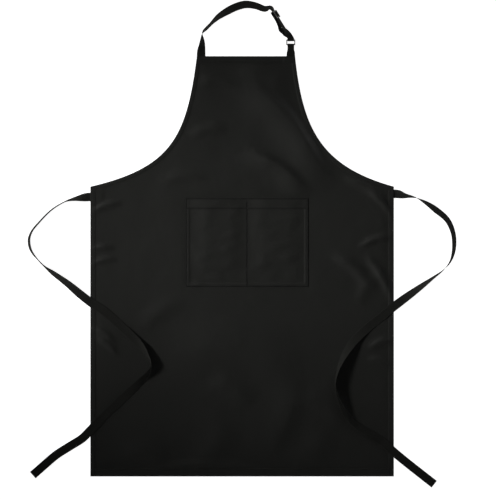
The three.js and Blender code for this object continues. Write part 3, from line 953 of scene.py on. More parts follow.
@dataclass
class Pocket:
    """The divided pocket: one sheet of twill that stands open a little at its mouth."""

    cloth: Cloth
    wardrobe: Wardrobe
    left: float = -0.124
    right: float = 0.146
    mouth: float = -0.026
    bottom: float = -0.221
    divider: float = 0.011
    hem: float = 0.023
    layer: float = 0.00055
    turned: float = 0.0005
    margin: float = 0.007
    bow: float = 0.0021
    rise: float = 0.040
    closed_end: float = 0.060

    def stand(self, x: np.ndarray, y: np.ndarray) -> np.ndarray:
        """How far the pocket stands off the front at each place."""
        seam = np.minimum(x - self.left, self.right - x) - self.margin
        nearest = np.minimum(seam, np.abs(x - self.divider) - 0.0012)
        across = smooth(nearest, 0.0, self.rise)
        up = smooth(y - self.bottom - self.margin, 0.0, self.closed_end)
        soft = 1 + 0.22 * rippled(x, y, 0.06, 12.4)
        creased = 0.0011 * rippled(x * 0.7, y * 1.3, 0.024, 4.4) * np.clip(nearest / 0.02, 0, 1)
        return self.bow * across * up * soft + np.maximum(creased, -0.0003) + 0.00035 * across

    def floor(self, x: np.ndarray, y: np.ndarray) -> np.ndarray:
        """The height of the pocket's lower side."""
        return self.cloth.top(x, y) + 0.00012 + self.stand(x, y)

    def thickness(self, x: np.ndarray, y: np.ndarray) -> np.ndarray:
        """How thick the pocket's cloth is, with its turned edges and its mouth's deep hem."""
        edge = np.minimum(np.minimum(x - self.left, self.right - x), y - self.bottom)
        turned = 1 - smooth(edge, 0.007, 0.0085)
        mouth = 1 - smooth(self.mouth - y, self.hem, self.hem + 0.0012)
        line = np.exp(-(((self.mouth - y - self.hem + 0.001) / 0.0008) ** 2))
        seam = np.exp(-(((edge - 0.0025) / 0.0007) ** 2))
        split = np.exp(-((np.abs(x - self.divider) / 0.0009) ** 2))
        sunk = 0.0003 * np.maximum.reduce([line, seam, split])
        return self.layer + self.turned * np.maximum(turned, mouth) - sunk

    def seam_depth(self, x: np.ndarray, y: np.ndarray) -> np.ndarray:
        """How much painted shade darkens each place at an edge, the divider or the mouth's hem."""
        edge = np.minimum(np.minimum(x - self.left, self.right - x), y - self.bottom)
        edge = np.minimum(edge, self.mouth - y)
        # Painted shade: dark lines along the pocket's outline, down its divider and across its hem line.
        outline = 0.95 * np.exp(-((edge / 0.0021) ** 2))
        below = smooth(self.mouth - y, 0.004, 0.010)
        split = 0.97 * below * np.exp(-(((x - self.divider) / 0.0017) ** 2))
        line = 0.72 * np.exp(-(((self.mouth - y - self.hem + 0.001) / 0.0012) ** 2))
        return np.maximum.reduce([outline, split, line])

    def top(self, x: Any, y: Any) -> np.ndarray:
        """The height of the pocket's upper side."""
        x, y = np.asarray(x, dtype=float), np.asarray(y, dtype=float)
        return self.floor(x, y) + self.thickness(x, y)

    def build(self) -> bpy.types.Object:
        near = np.array([0.0, 0.0004, 0.0012, 0.0019, 0.0025, 0.0031, 0.0040, 0.0060, 0.0072, 0.0084])
        middle = self.divider + np.array([-0.0022, -0.0012, -0.0006, 0.0, 0.0006, 0.0012, 0.0022])
        first = spread(self.left + near, self.left + 0.0105, middle[0] - 0.002, 0.0023, middle)
        second = np.linspace(middle[-1] + 0.002, self.right - 0.0105, 54)
        columns = np.concatenate([first, second, self.right - near[::-1]])
        line = self.mouth - self.hem + np.array([-0.0022, -0.0012, -0.0004, 0.0004, 0.001, 0.0016, 0.0024])
        lower = spread(self.bottom + near, self.bottom + 0.0105, line[0] - 0.002, 0.0024, line)
        mouth = self.mouth - np.array([0.0034, 0.0016, 0.0007, 0.0003, 0.0])
        rows = np.concatenate([lower, np.linspace(line[-1] + 0.002, mouth[0] - 0.002, 9), mouth])
        x, y = np.meshgrid(columns, rows)
        low = self.floor(x, y)
        sheet = closed_sheet(
            "pocket_cloth",
            x,
            y,
            low,
            low + self.thickness(x, y),
            self.wardrobe.twill,
            self.seam_depth(x, y),
        )
        rides(sheet, Body.APRON, Slot.TWILL, ["pocket_panel"])
        size = (self.right - self.left, self.mouth - self.bottom)
        return sheet


# ---- tapes ----


@dataclass(frozen=True)
class Stop:
    """A place on a tape's route, and how the tape is turned there.

    Roll is in degrees up from lying flat, base is the height of what the lower edge rests on, and skew is how
    far the width is turned off square to the route.
    """

    x: float
    y: float
    roll: float = 0.0
    base: float = 0.0
    width: float = 0.019
    skew: float = 0.0


class TapeRoute:
    """A smooth route through stops."""

    THICKNESS = 0.0008

    def __init__(self, stops: Sequence[Stop]) -> None:
        """Takes the stops in order."""
        self.stops = stops

    def plan(self, t: np.ndarray) -> np.ndarray:
        """Places on a centripetal spline through the stops.

        Args:
            t: From 0 at the first stop to 1 at the last.

        Returns:
            The places, one row each.
        """
        stops = np.array([(stop.x, stop.y) for stop in self.stops])
        stops = np.concatenate([2 * stops[:1] - stops[1:2], stops, 2 * stops[-1:] - stops[-2:-1]])
        at = np.clip(t * (len(self.stops) - 1), 0, len(self.stops) - 1 - 1e-9)
        index = at.astype(int)
        share = (at - index)[:, None]
        p = [stops[index + offset] for offset in range(4)]
        d = [np.sqrt(np.linalg.norm(p[k + 1] - p[k], axis=1))[:, None] for k in range(3)]
        leave = (p[1] - p[0]) / d[0] - (p[2] - p[0]) / (d[0] + d[1]) + (p[2] - p[1]) / d[1]
        reach = (p[2] - p[1]) / d[1] - (p[3] - p[1]) / (d[1] + d[2]) + (p[3] - p[2]) / d[2]
        leave, reach = leave * d[1], reach * d[1]
        square = -3 * p[1] + 3 * p[2] - 2 * leave - reach
        cube = 2 * p[1] - 2 * p[2] + leave + reach
        return p[1] + leave * share + square * share**2 + cube * share**3

    def ribbon(
        self,
        spacing: float,
        soften: float,
        bed: Callable[[np.ndarray, np.ndarray, np.ndarray, np.ndarray], np.ndarray] | None = None,
        play: float = 0.0,
    ) -> Ribbon:
        """The tape along this route.

        Args:
            spacing: The distance between sections.
            soften: The distance over which a change of turn is eased.
            bed: Gives the height to rest on from each section's place, reach and distance along.
            play: Small uneven turns of a limp tape where it lies flat, in degrees.

        Returns:
            The ribbon.
        """
        t = np.linspace(0, 1, 4000)
        plan = self.plan(t)
        run = np.concatenate([[0.0], np.cumsum(np.linalg.norm(np.diff(plan, axis=0), axis=1))])
        count = round(run[-1] / spacing) + 1
        distance = np.linspace(0, run[-1], count)
        at = np.interp(distance, run, t)
        place = self.plan(at)
        stops = np.linspace(0, 1, len(self.stops))

        def eased(name: str) -> np.ndarray:
            """One value of the stops along the tape, with its changes eased."""
            values = np.interp(at, stops, [getattr(stop, name) for stop in self.stops])
            reach = max(1, round(soften / spacing / 2))
            padded = np.pad(values, reach, mode="edge")
            kernel = np.hanning(2 * reach + 3)[1:-1]
            return np.convolve(padded, kernel / kernel.sum(), mode="valid")

        roll, base, width, skew = (eased(name) for name in ("roll", "base", "width", "skew"))
        uneven = rippled(distance, np.full(count, 0.3), 0.045, 2.2) * smooth(distance, 0.03, 0.08)
        roll = np.radians(roll + play * uneven * np.cos(np.radians(roll)) ** 2)
        if bed is not None:
            reach = np.abs(np.cos(roll)) * width / 2 + 0.001
            base = bed(place, reach, distance, base)
        height = base + np.abs(np.sin(roll)) * width / 2 + self.THICKNESS / 2
        middle = np.concatenate([place, height[:, None]], axis=1)
        tangent = np.gradient(middle, axis=0)
        tangent /= np.linalg.norm(tangent, axis=1, keepdims=True)
        level = np.stack([-tangent[:, 1], tangent[:, 0], np.zeros(count)], axis=1)
        level /= np.linalg.norm(level, axis=1, keepdims=True)
        side = level * np.cos(roll)[:, None] + np.cross(tangent, level) * np.sin(roll)[:, None]
        turn = np.radians(skew)
        side = np.stack(
            [
                side[:, 0] * np.cos(turn) - side[:, 1] * np.sin(turn),
                side[:, 0] * np.sin(turn) + side[:, 1] * np.cos(turn),
                side[:, 2],
            ],
            axis=1,
        )
        return Ribbon(middle, side, width / 2, np.full(count, self.THICKNESS))


def bent_ribbon(
    profile: Sequence[tuple[float, float]],
    across: Callable[[np.ndarray], np.ndarray],
    to_world: Matrix,
    thickness: float = TapeRoute.THICKNESS,
) -> Ribbon:
    """A tape bent along a line in a plane, its width square to the plane.

    Args:
        profile: The line, as places along and up in the plane.
        across: The half width at each share of the line's length.
        to_world: Carries along, across and up into the part's frame.
        thickness: The tape's thickness.

    Returns:
        The ribbon.
    """
    line = np.array([(along, 0.0, up, 1.0) for along, up in profile])
    matrix = np.array(to_world)
    middle = (line @ matrix.T)[:, :3]
    side = np.tile(matrix[:3, 1], (len(line), 1))
    share = np.linspace(0, 1, len(line))
    return Ribbon(middle, side, across(share), np.full(len(line), thickness))


def arc(
    centre: tuple[float, float], radius: float, start: float, end: float, count: int
) -> list[tuple[float, float]]:
    """Places on an arc, between two angles in degrees."""
    turns = np.radians(np.linspace(start, end, count))
    return [(centre[0] + radius * math.cos(a), centre[1] + radius * math.sin(a)) for a in turns]


def line(start: tuple[float, float], end: tuple[float, float], count: int) -> list[tuple[float, float]]:
    """Evenly spaced places between two, without the last."""
    shares = np.linspace(0, 1, count, endpoint=False)
    return [(start[0] + (end[0] - start[0]) * s, start[1] + (end[1] - start[1]) * s) for s in shares]


TIE_LEFT_STOPS = (
    Stop(-0.3110, -0.0230, 0),
    Stop(-0.3350, -0.0230, 0),
    Stop(-0.3390, -0.0230, 0),
    Stop(-0.3470, -0.0240, 12),
    Stop(-0.3590, -0.0260, 48),
    Stop(-0.3720, -0.0280, 66),
    Stop(-0.3900, -0.0330, 84),
    Stop(-0.4210, -0.0520, 80),
    Stop(-0.4470, -0.0780, 78),
    Stop(-0.4640, -0.0990, 76),
    Stop(-0.4700, -0.1170, 70),
    Stop(-0.4660, -0.1400, 72),
    Stop(-0.4510, -0.1610, 84),
    Stop(-0.4350, -0.1770, 80),
    Stop(-0.4180, -0.1900, 56),
    Stop(-0.3840, -0.2150, 36, 0.0010),
    Stop(-0.3580, -0.2370, 12, 0.0025),
    Stop(-0.3350, -0.2550, 0, 0.0025),
    Stop(-0.3030, -0.2760, 0, 0.0025),
    Stop(-0.2620, -0.3130, 0, 0.0025),
    Stop(-0.2300, -0.3450, 18, 0.0025),
    Stop(-0.2110, -0.3710, 55, 0.0025),
    Stop(-0.2010, -0.3940, 88, 0.0025),
    Stop(-0.2100, -0.4140, 122, 0.0025),
    Stop(-0.2320, -0.4380, 150, 0.0025),
    Stop(-0.2670, -0.4710, 176, 0.0025),
    Stop(-0.2980, -0.5000, 180, 0.0025),
    Stop(-0.3350, -0.5380, 180, 0.0025),
    Stop(-0.3530, -0.5560, 174, 0.0010),
    Stop(-0.3800, -0.5730, 180),
    Stop(-0.4110, -0.5930, 180),
    Stop(-0.4370, -0.6150, 180),
    Stop(-0.4620, -0.6370, 180),
)
TIE_RIGHT_STOPS = (
    Stop(0.3110, -0.0160, 0),
    Stop(0.3350, -0.0160, 0),
    Stop(0.3390, -0.0160, 0),
    Stop(0.3470, -0.0170, 16),
    Stop(0.3590, -0.0200, 58),
    Stop(0.3810, -0.0240, 85),
    Stop(0.4020, -0.0340, 113),
    Stop(0.4270, -0.0510, 138),
    Stop(0.4530, -0.0740, 133),
    Stop(0.4650, -0.1000, 126),
    Stop(0.4680, -0.1230, 124),
    Stop(0.4660, -0.1460, 116),
    Stop(0.4590, -0.1660, 103),
    Stop(0.4450, -0.1830, 90),
    Stop(0.4190, -0.2030, 72),
    Stop(0.3780, -0.2330, 34, 0.0010),
    Stop(0.3560, -0.2490, 12, 0.0025),
    Stop(0.3350, -0.2650, 0, 0.0025),
    Stop(0.3070, -0.2880, 0, 0.0025),
    Stop(0.2780, -0.3110, 0, 0.0025),
    Stop(0.2490, -0.3390, 16, 0.0025),
    Stop(0.2270, -0.3700, 44, 0.0025),
    Stop(0.2130, -0.4000, 72, 0.0025),
    Stop(0.2060, -0.4360, 90, 0.0025),
    Stop(0.2130, -0.4700, 104, 0.0025),
    Stop(0.2280, -0.5010, 126, 0.0025),
    Stop(0.2530, -0.5260, 148, 0.0025),
    Stop(0.2850, -0.5470, 172, 0.0025),
    Stop(0.3120, -0.5650, 180, 0.0025),
    Stop(0.3350, -0.5860, 180, 0.0025),
    Stop(0.3530, -0.6010, 176, 0.0010),
    Stop(0.3780, -0.6210, 180),
    Stop(0.4010, -0.6390, 180),
    Stop(0.4240, -0.6570, 180),
)


@dataclass(frozen=True)
class StrapPlan:
    """The driving sizes of the strap, its ring and its slider, and the places that follow from them."""

    pattern: PanelPattern
    gap: float = 0.0003
    hinge_gap: float = 0.0004
    tape_width: float = 0.019
    sewn: tuple[float, ...] = (0.024, 0.014, 0.006)
    tab_length: float = 0.025
    ring_wire: float = 0.0022
    ring_inside: tuple[float, float] = (0.0154, 0.0086)
    ring_side_room: float = 0.0004
    ring_play: float = 0.0017
    ring_reach: float = 0.004
    slider_length: float = 0.018
    slider_bar: float = 0.0024
    slider_rail: float = 0.0024
    slider_side_room: float = 0.0006
    slider_wrap: float = 0.007
    slider_travel: float = 0.020
    slider_inset: float = 0.0335
    slider_above_bib: float = 0.091
    tilt: float = 70.0
    heading: float = -58.0

    @property
    def bib(self) -> float:
        """How high the bib's top edge is."""
        return self.pattern.bib_height

    @property
    def strap_x(self) -> float:
        """The middle of the strap's sewn end, at the bib's left corner."""
        return self.pattern.bib_left + self.tape_width / 2

    @property
    def tab_x(self) -> float:
        """The middle of the tab and the ring, at the bib's right corner."""
        return self.pattern.bib_right - self.tape_width / 2

    @property
    def ring_low(self) -> float:
        """The middle of the ring's lower bar."""
        return self.bib + self.tab_length

    @property
    def ring_high(self) -> float:
        """The middle of the ring's upper bar."""
        return self.ring_low + self.ring_inside[1] + self.ring_wire

    @property
    def ring_tape(self) -> float:
        """The tape's width where it is gathered up inside the ring."""
        return self.ring_inside[0] - 2 * self.ring_side_room

    @property
    def ring_room(self) -> float:
        """The inner radius of a turn of tape round a bar of the ring."""
        return self.ring_wire * math.sqrt(0.5) + self.gap

    @property
    def ring_z(self) -> float:
        """How high the ring's middle lies."""
        return TapeRoute.THICKNESS + self.ring_room

    @property
    def wrap_inside(self) -> float:
        """The height inside the strap's turn round the ring."""
        return 2 * self.ring_room + self.ring_play

    @property
    def wrap_back(self) -> float:
        """Where that turn ends, above the ring."""
        return self.ring_high + self.ring_reach

    @property
    def slider_near(self) -> float:
        """From the strap's middle to the slider's outer bars."""
        return TapeRoute.THICKNESS / 2 + self.gap

    @property
    def middle_far(self) -> float:
        """From the strap's middle to the far side of the slider's middle bar."""
        return self.slider_near + TapeRoute.THICKNESS + self.gap + self.slider_bar

    @property
    def return_off(self) -> float:
        """From the strap's middle to the middle of the strand that comes back."""
        return self.middle_far + self.gap + TapeRoute.THICKNESS / 2

    @property
    def slider_z(self) -> float:
        """How high the strap's middle runs through the slider, which stands on its edge."""
        edge = self.tape_width / 2 + self.slider_side_room + self.slider_rail
        return self.tilt_up * edge + self.tilt_over * self.middle_far + self.gap

    @property
    def slider_lift(self) -> float:
        """How far the strap's lower edge is off the table at the slider."""
        return self.slider_z - self.tilt_up * self.tape_width / 2 - TapeRoute.THICKNESS / 2

    @property
    def tilt_up(self) -> float:
        """The upright share of the slider's tilt."""
        return math.sin(math.radians(self.tilt))

    @property
    def tilt_over(self) -> float:
        """The level share of the slider's tilt."""
        return math.cos(math.radians(self.tilt))

    @property
    def slider(self) -> tuple[float, float, float]:
        """The strap's middle at the slider."""
        return (self.tab_x - self.slider_inset, self.bib + self.slider_above_bib, self.slider_z)

    def by_stretch(self, distance: float, aside: float) -> tuple[float, float]:
        """A place by the doubled stretch: so far from the slider along it, and so far in from it."""
        turn = math.radians(self.heading)
        along, inwards = (math.cos(turn), math.sin(turn)), (math.sin(turn), -math.cos(turn))
        x, y, _ = self.slider
        return (x + along[0] * distance + inwards[0] * aside, y + along[1] * distance + inwards[1] * aside)

    @staticmethod
    def marked(place: tuple[float, float], roll: float, base: float = 0.0, **rest: float) -> Stop:
        """A stop, marked on the tape to a tenth of a millimetre."""
        return Stop(round(place[0], 4), round(place[1], 4), roll, round(base, 4), **rest)

    def strap_stops(self) -> tuple[Stop, ...]:
        """The strap from its sewn end, up and over the arch, through the slider and down to the ring."""
        bib, left, span = self.bib, self.strap_x, self.slider[0] - self.strap_x
        marked, lift, standing = self.marked, self.slider_lift, 180 - self.tilt
        top = TapeRoute.THICKNESS + self.wrap_inside
        straight = self.slider_length / 2 + self.slider_travel + 0.002
        rise = (
            (0.0, self.hinge_gap, 0),
            (0.0, 0.004, 2),
            (0.0005, 0.013, 22),
            (0.002, 0.025, 45),
            (0.0025, 0.038, 66),
            (0.0025, 0.047, 86),
            (0.0055, 0.054, 108),
        )
        arch = (
            (0.067, 0.060, 114),
            (0.14, 0.072, 113),
            (0.23, 0.086, 132),
            (0.35, 0.099, 155),
            (0.475, 0.109, 160),
            (0.6, 0.114, 158),
            (0.73, 0.111, 146),
            (0.855, 0.104, 138),
        )
        return (
            *(marked((left, bib - back), 0) for back in self.sewn),
            *(marked((left + over, bib + up), roll) for over, up, roll in rise),
            *(marked((left + share * span, bib + up), roll) for share, up, roll in arch),
            marked(self.by_stretch(-self.slider_length, 0.0015), 122, lift),
            *(
                marked(self.by_stretch(distance, 0.0), standing, lift)
                for distance in (-self.slider_length / 2, self.slider_length, straight, straight + 0.007)
            ),
            marked((self.tab_x - 0.009, self.ring_high + 0.0164), 128, top - 0.002, width=0.018, skew=-8),
            marked((self.tab_x - 0.0045, self.ring_high + 0.0097), 156, top - 0.0005, width=0.0156, skew=-22),
            marked((self.tab_x, self.ring_high + 0.003), 180, top, width=round(self.ring_tape, 4), skew=-34),
        )

    def return_stops(self) -> tuple[Stop, ...]:
        """The strap's own end, from its turn round the ring back to the slider's middle bar."""
        tab, back, marked = self.tab_x, self.wrap_back, self.marked
        narrow = round(self.ring_tape, 4)
        lift = self.slider_lift - self.tilt_over * self.return_off
        aside, half = self.tilt_up * self.return_off, self.slider_length / 2
        return (
            marked((tab, back + self.gap), 0, width=narrow, skew=-48),
            marked((tab - 0.004, back + 0.0038), 8, width=narrow, skew=-38),
            marked((tab - 0.009, back + 0.0084), 24, 0.0002, width=0.0158, skew=-22),
            marked((tab - 0.0145, back + 0.013), 42, 0.0005, width=0.0175, skew=-8),
            marked(self.by_stretch(half + 0.025, aside + 0.0032), 58, 0.0008),
            marked(self.by_stretch(half + 0.015, aside + 0.0016), 68, lift),
            marked(self.by_stretch(half + 0.006, aside + 0.0004), self.tilt, lift),
            marked(self.by_stretch(self.slider_wrap + self.gap, aside), self.tilt, lift),
        )


def cloth_bed(cloth: Cloth) -> Callable[..., np.ndarray]:
    """How high a tape rests along its way: on the table, or on the cloth once it has crossed its edge."""

    def bed(
        place: np.ndarray, reach: np.ndarray, distance: np.ndarray, base: np.ndarray
    ) -> np.ndarray:
        """The height under each section."""
        tangent = np.gradient(place, axis=0)
        tangent /= np.linalg.norm(tangent, axis=1, keepdims=True)
        tallest = np.zeros(len(place))
        for share in np.linspace(-1, 1, 7):
            x = place[:, 0] - tangent[:, 1] * reach * share
            y = place[:, 1] + tangent[:, 0] * reach * share
            tallest = np.maximum(tallest, np.where(cloth.covers(x, y), cloth.top(x, y), 0.0))
        tallest[distance < 0.06] = 0.0
        spacing = distance[1] - distance[0]
        wide = round(0.007 / spacing)
        padded = np.pad(tallest, wide, mode="edge")
        held = np.max([padded[k : k + len(tallest)] for k in range(2 * wide + 1)], axis=0)
        kernel = np.hanning(2 * wide + 3)[1:-1]
        eased = np.convolve(np.pad(held, wide, mode="edge"), kernel / kernel.sum(), mode="valid")
        return eased + 0.00012 * smooth(eased, 0.0, 0.0004)

    return bed


@dataclass
class Tie:
    """One waist tie: a flat tape sewn behind a side edge and laid out in a loose curve."""

    name: str
    node: str
    stops: tuple[Stop, ...]
    exit: tuple[float, float, float]
    length: float
    cloth: Cloth
    wardrobe: Wardrobe
    stitcher: "Stitcher"
    fold: float = 0.009
    folded: float = 0.00062
    spacing: float = 0.0019

    def ribbon(self) -> Ribbon:
        """The tape with its end turned over and sewn."""
        tape = TapeRoute(self.stops).ribbon(self.spacing, 0.022, cloth_bed(self.cloth), play=5.0)
        turned = tape.along[-1] - self.fold
        extra = self.folded * smooth(tape.along, turned - 0.0012, turned)
        tape.thick = tape.thick + extra
        tape.middle = tape.middle + np.stack([0 * extra, 0 * extra, extra / 2], axis=1)
        return tape

    def build(self) -> list[bpy.types.Object]:
        tape = self.ribbon()
        piece = keep_faces_outward(tape_mesh(self.name, tape, self.wardrobe.tape))
        rides(piece, Body.APRON, Slot.WEBBING, [self.node])
        end = tape.along[-1]
        up = math.copysign(1.0, tape.normal[-1][2])
        rows = []
        for back in (0.0022, self.fold - 0.0016):
            lift = up * (TapeRoute.THICKNESS + self.folded) / 2
            rows.append([tape.place(end - back, a, lift) for a in np.linspace(-0.82, 0.82, 12)])
        stitches = self.stitcher.sew(f"{self.name}_end_stitches", rows, StitchKind.fine())
        rides(stitches, Body.APRON, Slot.THREAD)
        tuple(self.exit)
        [list(map(float, point)) for point in tape.middle[::3]]
        return [piece, stitches]


@dataclass
class NeckStrap:
    """The neck strap: one tape from the bib, round the ring and back to the slider."""

    cloth: Cloth
    wardrobe: Wardrobe
    stitcher: "Stitcher"
    plan: StrapPlan
    fold: tuple[float, float] = (0.2835, 0.2935)
    turn_from: float = 0.0024
    turn_back: float = 0.0041
    bar_edge: float = -0.00072
    tuck: tuple = ((0.0, 0.0011), (0.0022, 0.0014), (0.0044, 0.0039), (0.0070, 0.0041))
    tuck_steps: tuple[int, ...] = (5, 6, 6)
    end_rows: tuple[float, float] = (0.0042, 0.0062)
    end_row_reach: float = 0.0075
    proud: float = 0.00002
    tab_upper_start: tuple[float, float] = (0.2889, 0.0015)
    tab_parts: float = 0.2925
    tab_wide: tuple[float, float] = (0.288, 0.3045)
    tab_spare: float = 0.0021
    bulge: float = 0.0006
    bulge_at: float = 0.2965
    bulge_reach: float = 0.0035

    def folding(self, piece: bpy.types.Object, x: float, nodes: list[str]) -> bpy.types.Object:
        """Bakes a piece's place into its mesh and hides the nodes it stands for.

        Args:
            piece: The piece.
            x: The middle of its sewn end; not used.
            nodes: The CAD nodes that it stands for.

        Returns:
            The piece.
        """
        start, end = ((x, y, 0.0) for y in self.fold)
        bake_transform(piece)
        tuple(start)
        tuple(end)
        return listed(piece, Slot.WEBBING, nodes)

    def along_tab(self) -> Matrix:
        """Carries along, across and up into the part's frame, with along running up the tab."""
        return Matrix(((0, -1, 0, self.plan.tab_x), (1, 0, 0, 0), (0, 0, 1, 0), (0, 0, 0, 1)))

    def strap(self) -> bpy.types.Object:
        """The long run from the bib's left corner over to the ring, with its turn round the ring."""
        plan = self.plan
        route = TapeRoute(plan.strap_stops()).ribbon(0.0013, 0.009, play=2.5)
        half = plan.ring_tape / 2
        face = plan.ring_high + plan.gap
        middle = plan.wrap_inside / 2 + TapeRoute.THICKNESS
        radius = plan.wrap_inside / 2 + TapeRoute.THICKNESS / 2
        low = middle - radius
        turn = line((plan.ring_high + self.turn_from, middle + radius), (face, middle + radius), 3)
        turn += arc((face, middle), radius, 90, 270, 18)
        turn += line((face + 0.0006, low), (plan.ring_high + self.turn_back, low), 5)
        wrap = bent_ribbon(turn, lambda share: np.full(len(share), half), self.along_tab())
        piece = tape_mesh("neck_strap_tape", route.joined(wrap), self.wardrobe.tape)
        keep_faces_outward(piece)
        return self.folding(piece, plan.strap_x, ["neck_strap", "strap_sewn_end"])

    def strand_back(self) -> bpy.types.Object:
        """The strand that comes back from the ring to the slider."""
        route = TapeRoute(self.plan.return_stops()).ribbon(0.0011, 0.008)
        piece = keep_faces_outward(tape_mesh("strap_return_tape", route, self.wardrobe.tape))
        rides(piece, Body.LOOP, Slot.WEBBING, ["strap_return"])
        turn = math.radians(self.plan.heading)
        axis = Vector((math.cos(turn), math.sin(turn), 0.0))
        anchor = Vector(route.middle[0])
        reach = (anchor - Vector(route.middle[-1])).dot(axis)
        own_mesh(piece)
        return piece

    def slider_frame(self) -> Matrix:
        """Carries the slider's own along, across and up into the part's frame."""
        heading = Matrix.Rotation(math.radians(self.plan.heading), 4, "Z")
        standing = Matrix.Rotation(math.radians(180 - self.plan.tilt), 4, "X")
        return Matrix.Translation(self.plan.slider) @ heading @ standing

    def end_wrap(self) -> list[bpy.types.Object]:
        """The strap's own end, turned round the slider's middle bar and sewn to itself."""
        plan = self.plan
        off, near = plan.return_off, plan.slider_near + TapeRoute.THICKNESS / 2
        radius = (off - near) / 2
        profile = line((plan.slider_wrap, off), (self.bar_edge, off), 8)
        profile += arc((self.bar_edge, near + radius), radius, 90, 270, 16)
        for start, end, count in zip(self.tuck[:-1], self.tuck[1:], self.tuck_steps):
            profile += line(start, end, count)
        to_world = self.slider_frame()
        tape = bent_ribbon(profile, lambda share: np.full(len(share), plan.tape_width / 2), to_world)
        piece = keep_faces_outward(tape_mesh("strap_end_turn", tape, self.wardrobe.tape))
        rides(piece, Body.SLIDER, Slot.WEBBING, ["strap_end_wrap"])
        up = (to_world.to_3x3() @ Vector((0, 0, 1))).normalized()
        face = off + TapeRoute.THICKNESS / 2 + self.proud
        places = np.linspace(-self.end_row_reach, self.end_row_reach, 12)
        rows = [
            [(to_world @ Vector((along, across, face)), up) for across in places]
            for along in self.end_rows
        ]
        stitches = self.stitcher.sew("strap_end_stitches", rows, StitchKind.fine())
        rides(stitches, Body.SLIDER, Slot.THREAD, ["strap_end_seam"])
        return [piece, stitches]

    def tab(self) -> bpy.types.Object:
        """The tab doubled round the ring's lower bar, sewn behind the bib's right corner."""
        plan = self.plan
        low, ring_low = TapeRoute.THICKNESS / 2, plan.ring_low
        radius = plan.ring_z - low
        top = plan.ring_z + radius
        end, base = self.tab_upper_start
        path = line((plan.bib - plan.sewn[0], low), (ring_low, low), 34)
        path += arc((ring_low, plan.ring_z), radius, -90, 90, 18)
        back = np.linspace(ring_low - 0.0006, end, 22)
        drop = smooth(back, self.tab_parts, ring_low)
        path += [(float(y), float(base + (top - base) * d)) for y, d in zip(back, drop)]
        places = np.array(path)[:, 0]
        bulge = self.bulge * np.exp(-(((places - self.bulge_at) / self.bulge_reach) ** 2))
        half = plan.ring_tape / 2 + self.tab_spare * (1 - smooth(places, *self.tab_wide)) + bulge
        tape = bent_ribbon(path, lambda share: half, self.along_tab())
        piece = keep_faces_outward(tape_mesh("ring_tab_tape", tape, self.wardrobe.tape))
        return self.folding(piece, plan.tab_x, ["ring_tab", "tab_sewn_end"])

    def build(self) -> list[bpy.types.Object]:
        """Builds the strap, its strand back, its sewn end and the tab."""
        return [self.strap(), self.strand_back(), *self.end_wrap(), self.tab()]


@dataclass
class StrapHardware:
    """The moulded ring and slider."""

    wardrobe: Wardrobe

    def moulding(self, name: str, node: str, body: Body, round_off: float) -> bpy.types.Object:
        """A moulded piece with eased edges.

        Args:
            name: The piece's name.
            node: The CAD node that gives its shape.
            body: The body that it rides on.
            round_off: The radius of its edges.

        Returns:
            The piece.
        """
        work = bmesh.new()
        work.from_mesh(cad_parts[node].data)
        bmesh.ops.remove_doubles(work, verts=work.verts, dist=1e-6)
        flat = math.radians(0.5)
        bmesh.ops.dissolve_limit(work, angle_limit=flat, verts=work.verts, edges=work.edges)
        bmesh.ops.recalc_face_normals(work, faces=work.faces)
        mesh = bpy.data.meshes.new(name)
        work.to_mesh(mesh)
        work.free()
        mesh.materials.clear()
        mesh.materials.append(self.wardrobe.plastic)
        mesh.polygons.foreach_set("use_smooth", [True] * len(mesh.polygons))
        piece = bpy.data.objects.new(name, mesh)
        bpy.context.scene.collection.objects.link(piece)
        easing = piece.modifiers.new("eased edges", "BEVEL")
        easing.width = round_off
        easing.segments = 4
        easing.limit_method = "ANGLE"
        easing.angle_limit = math.radians(30)
        easing.harden_normals = True
        frozen(piece)
        return rides(piece, body, Slot.PLASTIC, [node])

    def build(self) -> list[bpy.types.Object]:
        """Builds the ring and the slider."""
        return [
            self.moulding("ring_moulding", "strap_ring", Body.RING, 0.00075),
            self.moulding("slider_moulding", "strap_slider", Body.SLIDER, 0.00055),
        ]


# ---- stitching ----


@dataclass(frozen=True)
class StitchKind:
    """One stitch's size, how far apart stitches are, and how far they are turned off the seam."""

    pitch: float = 0.0030
    length: float = 0.0027
    width: float = 0.00050
    height: float = 0.00034
    turn: float = 0.0
    wander: float = 0.06

    @classmethod
    def fine(cls) -> "StitchKind":
        """A shorter stitch for tape ends and boxes."""
        return cls(pitch=0.0023, length=0.0021, width=0.00046, height=0.00030)

    @classmethod
    def bar(cls) -> "StitchKind":
        """The close stitches across a bar tack."""
        return cls(
            pitch=0.00048, length=0.0024, width=0.00050, height=0.00042, turn=math.pi / 2 - 0.14, wander=0.12
        )


Stations = Sequence[Sequence[tuple[Vector, Vector]]]

SEWN_ENDS = {
    "strap_tack_seam": (-0.0905, 0.276),
    "tab_tack_seam": (0.1075, 0.276),
    "tie_tack_seam_left": (-0.323, -0.023),
    "tie_tack_seam_right": (0.323, -0.016),
}


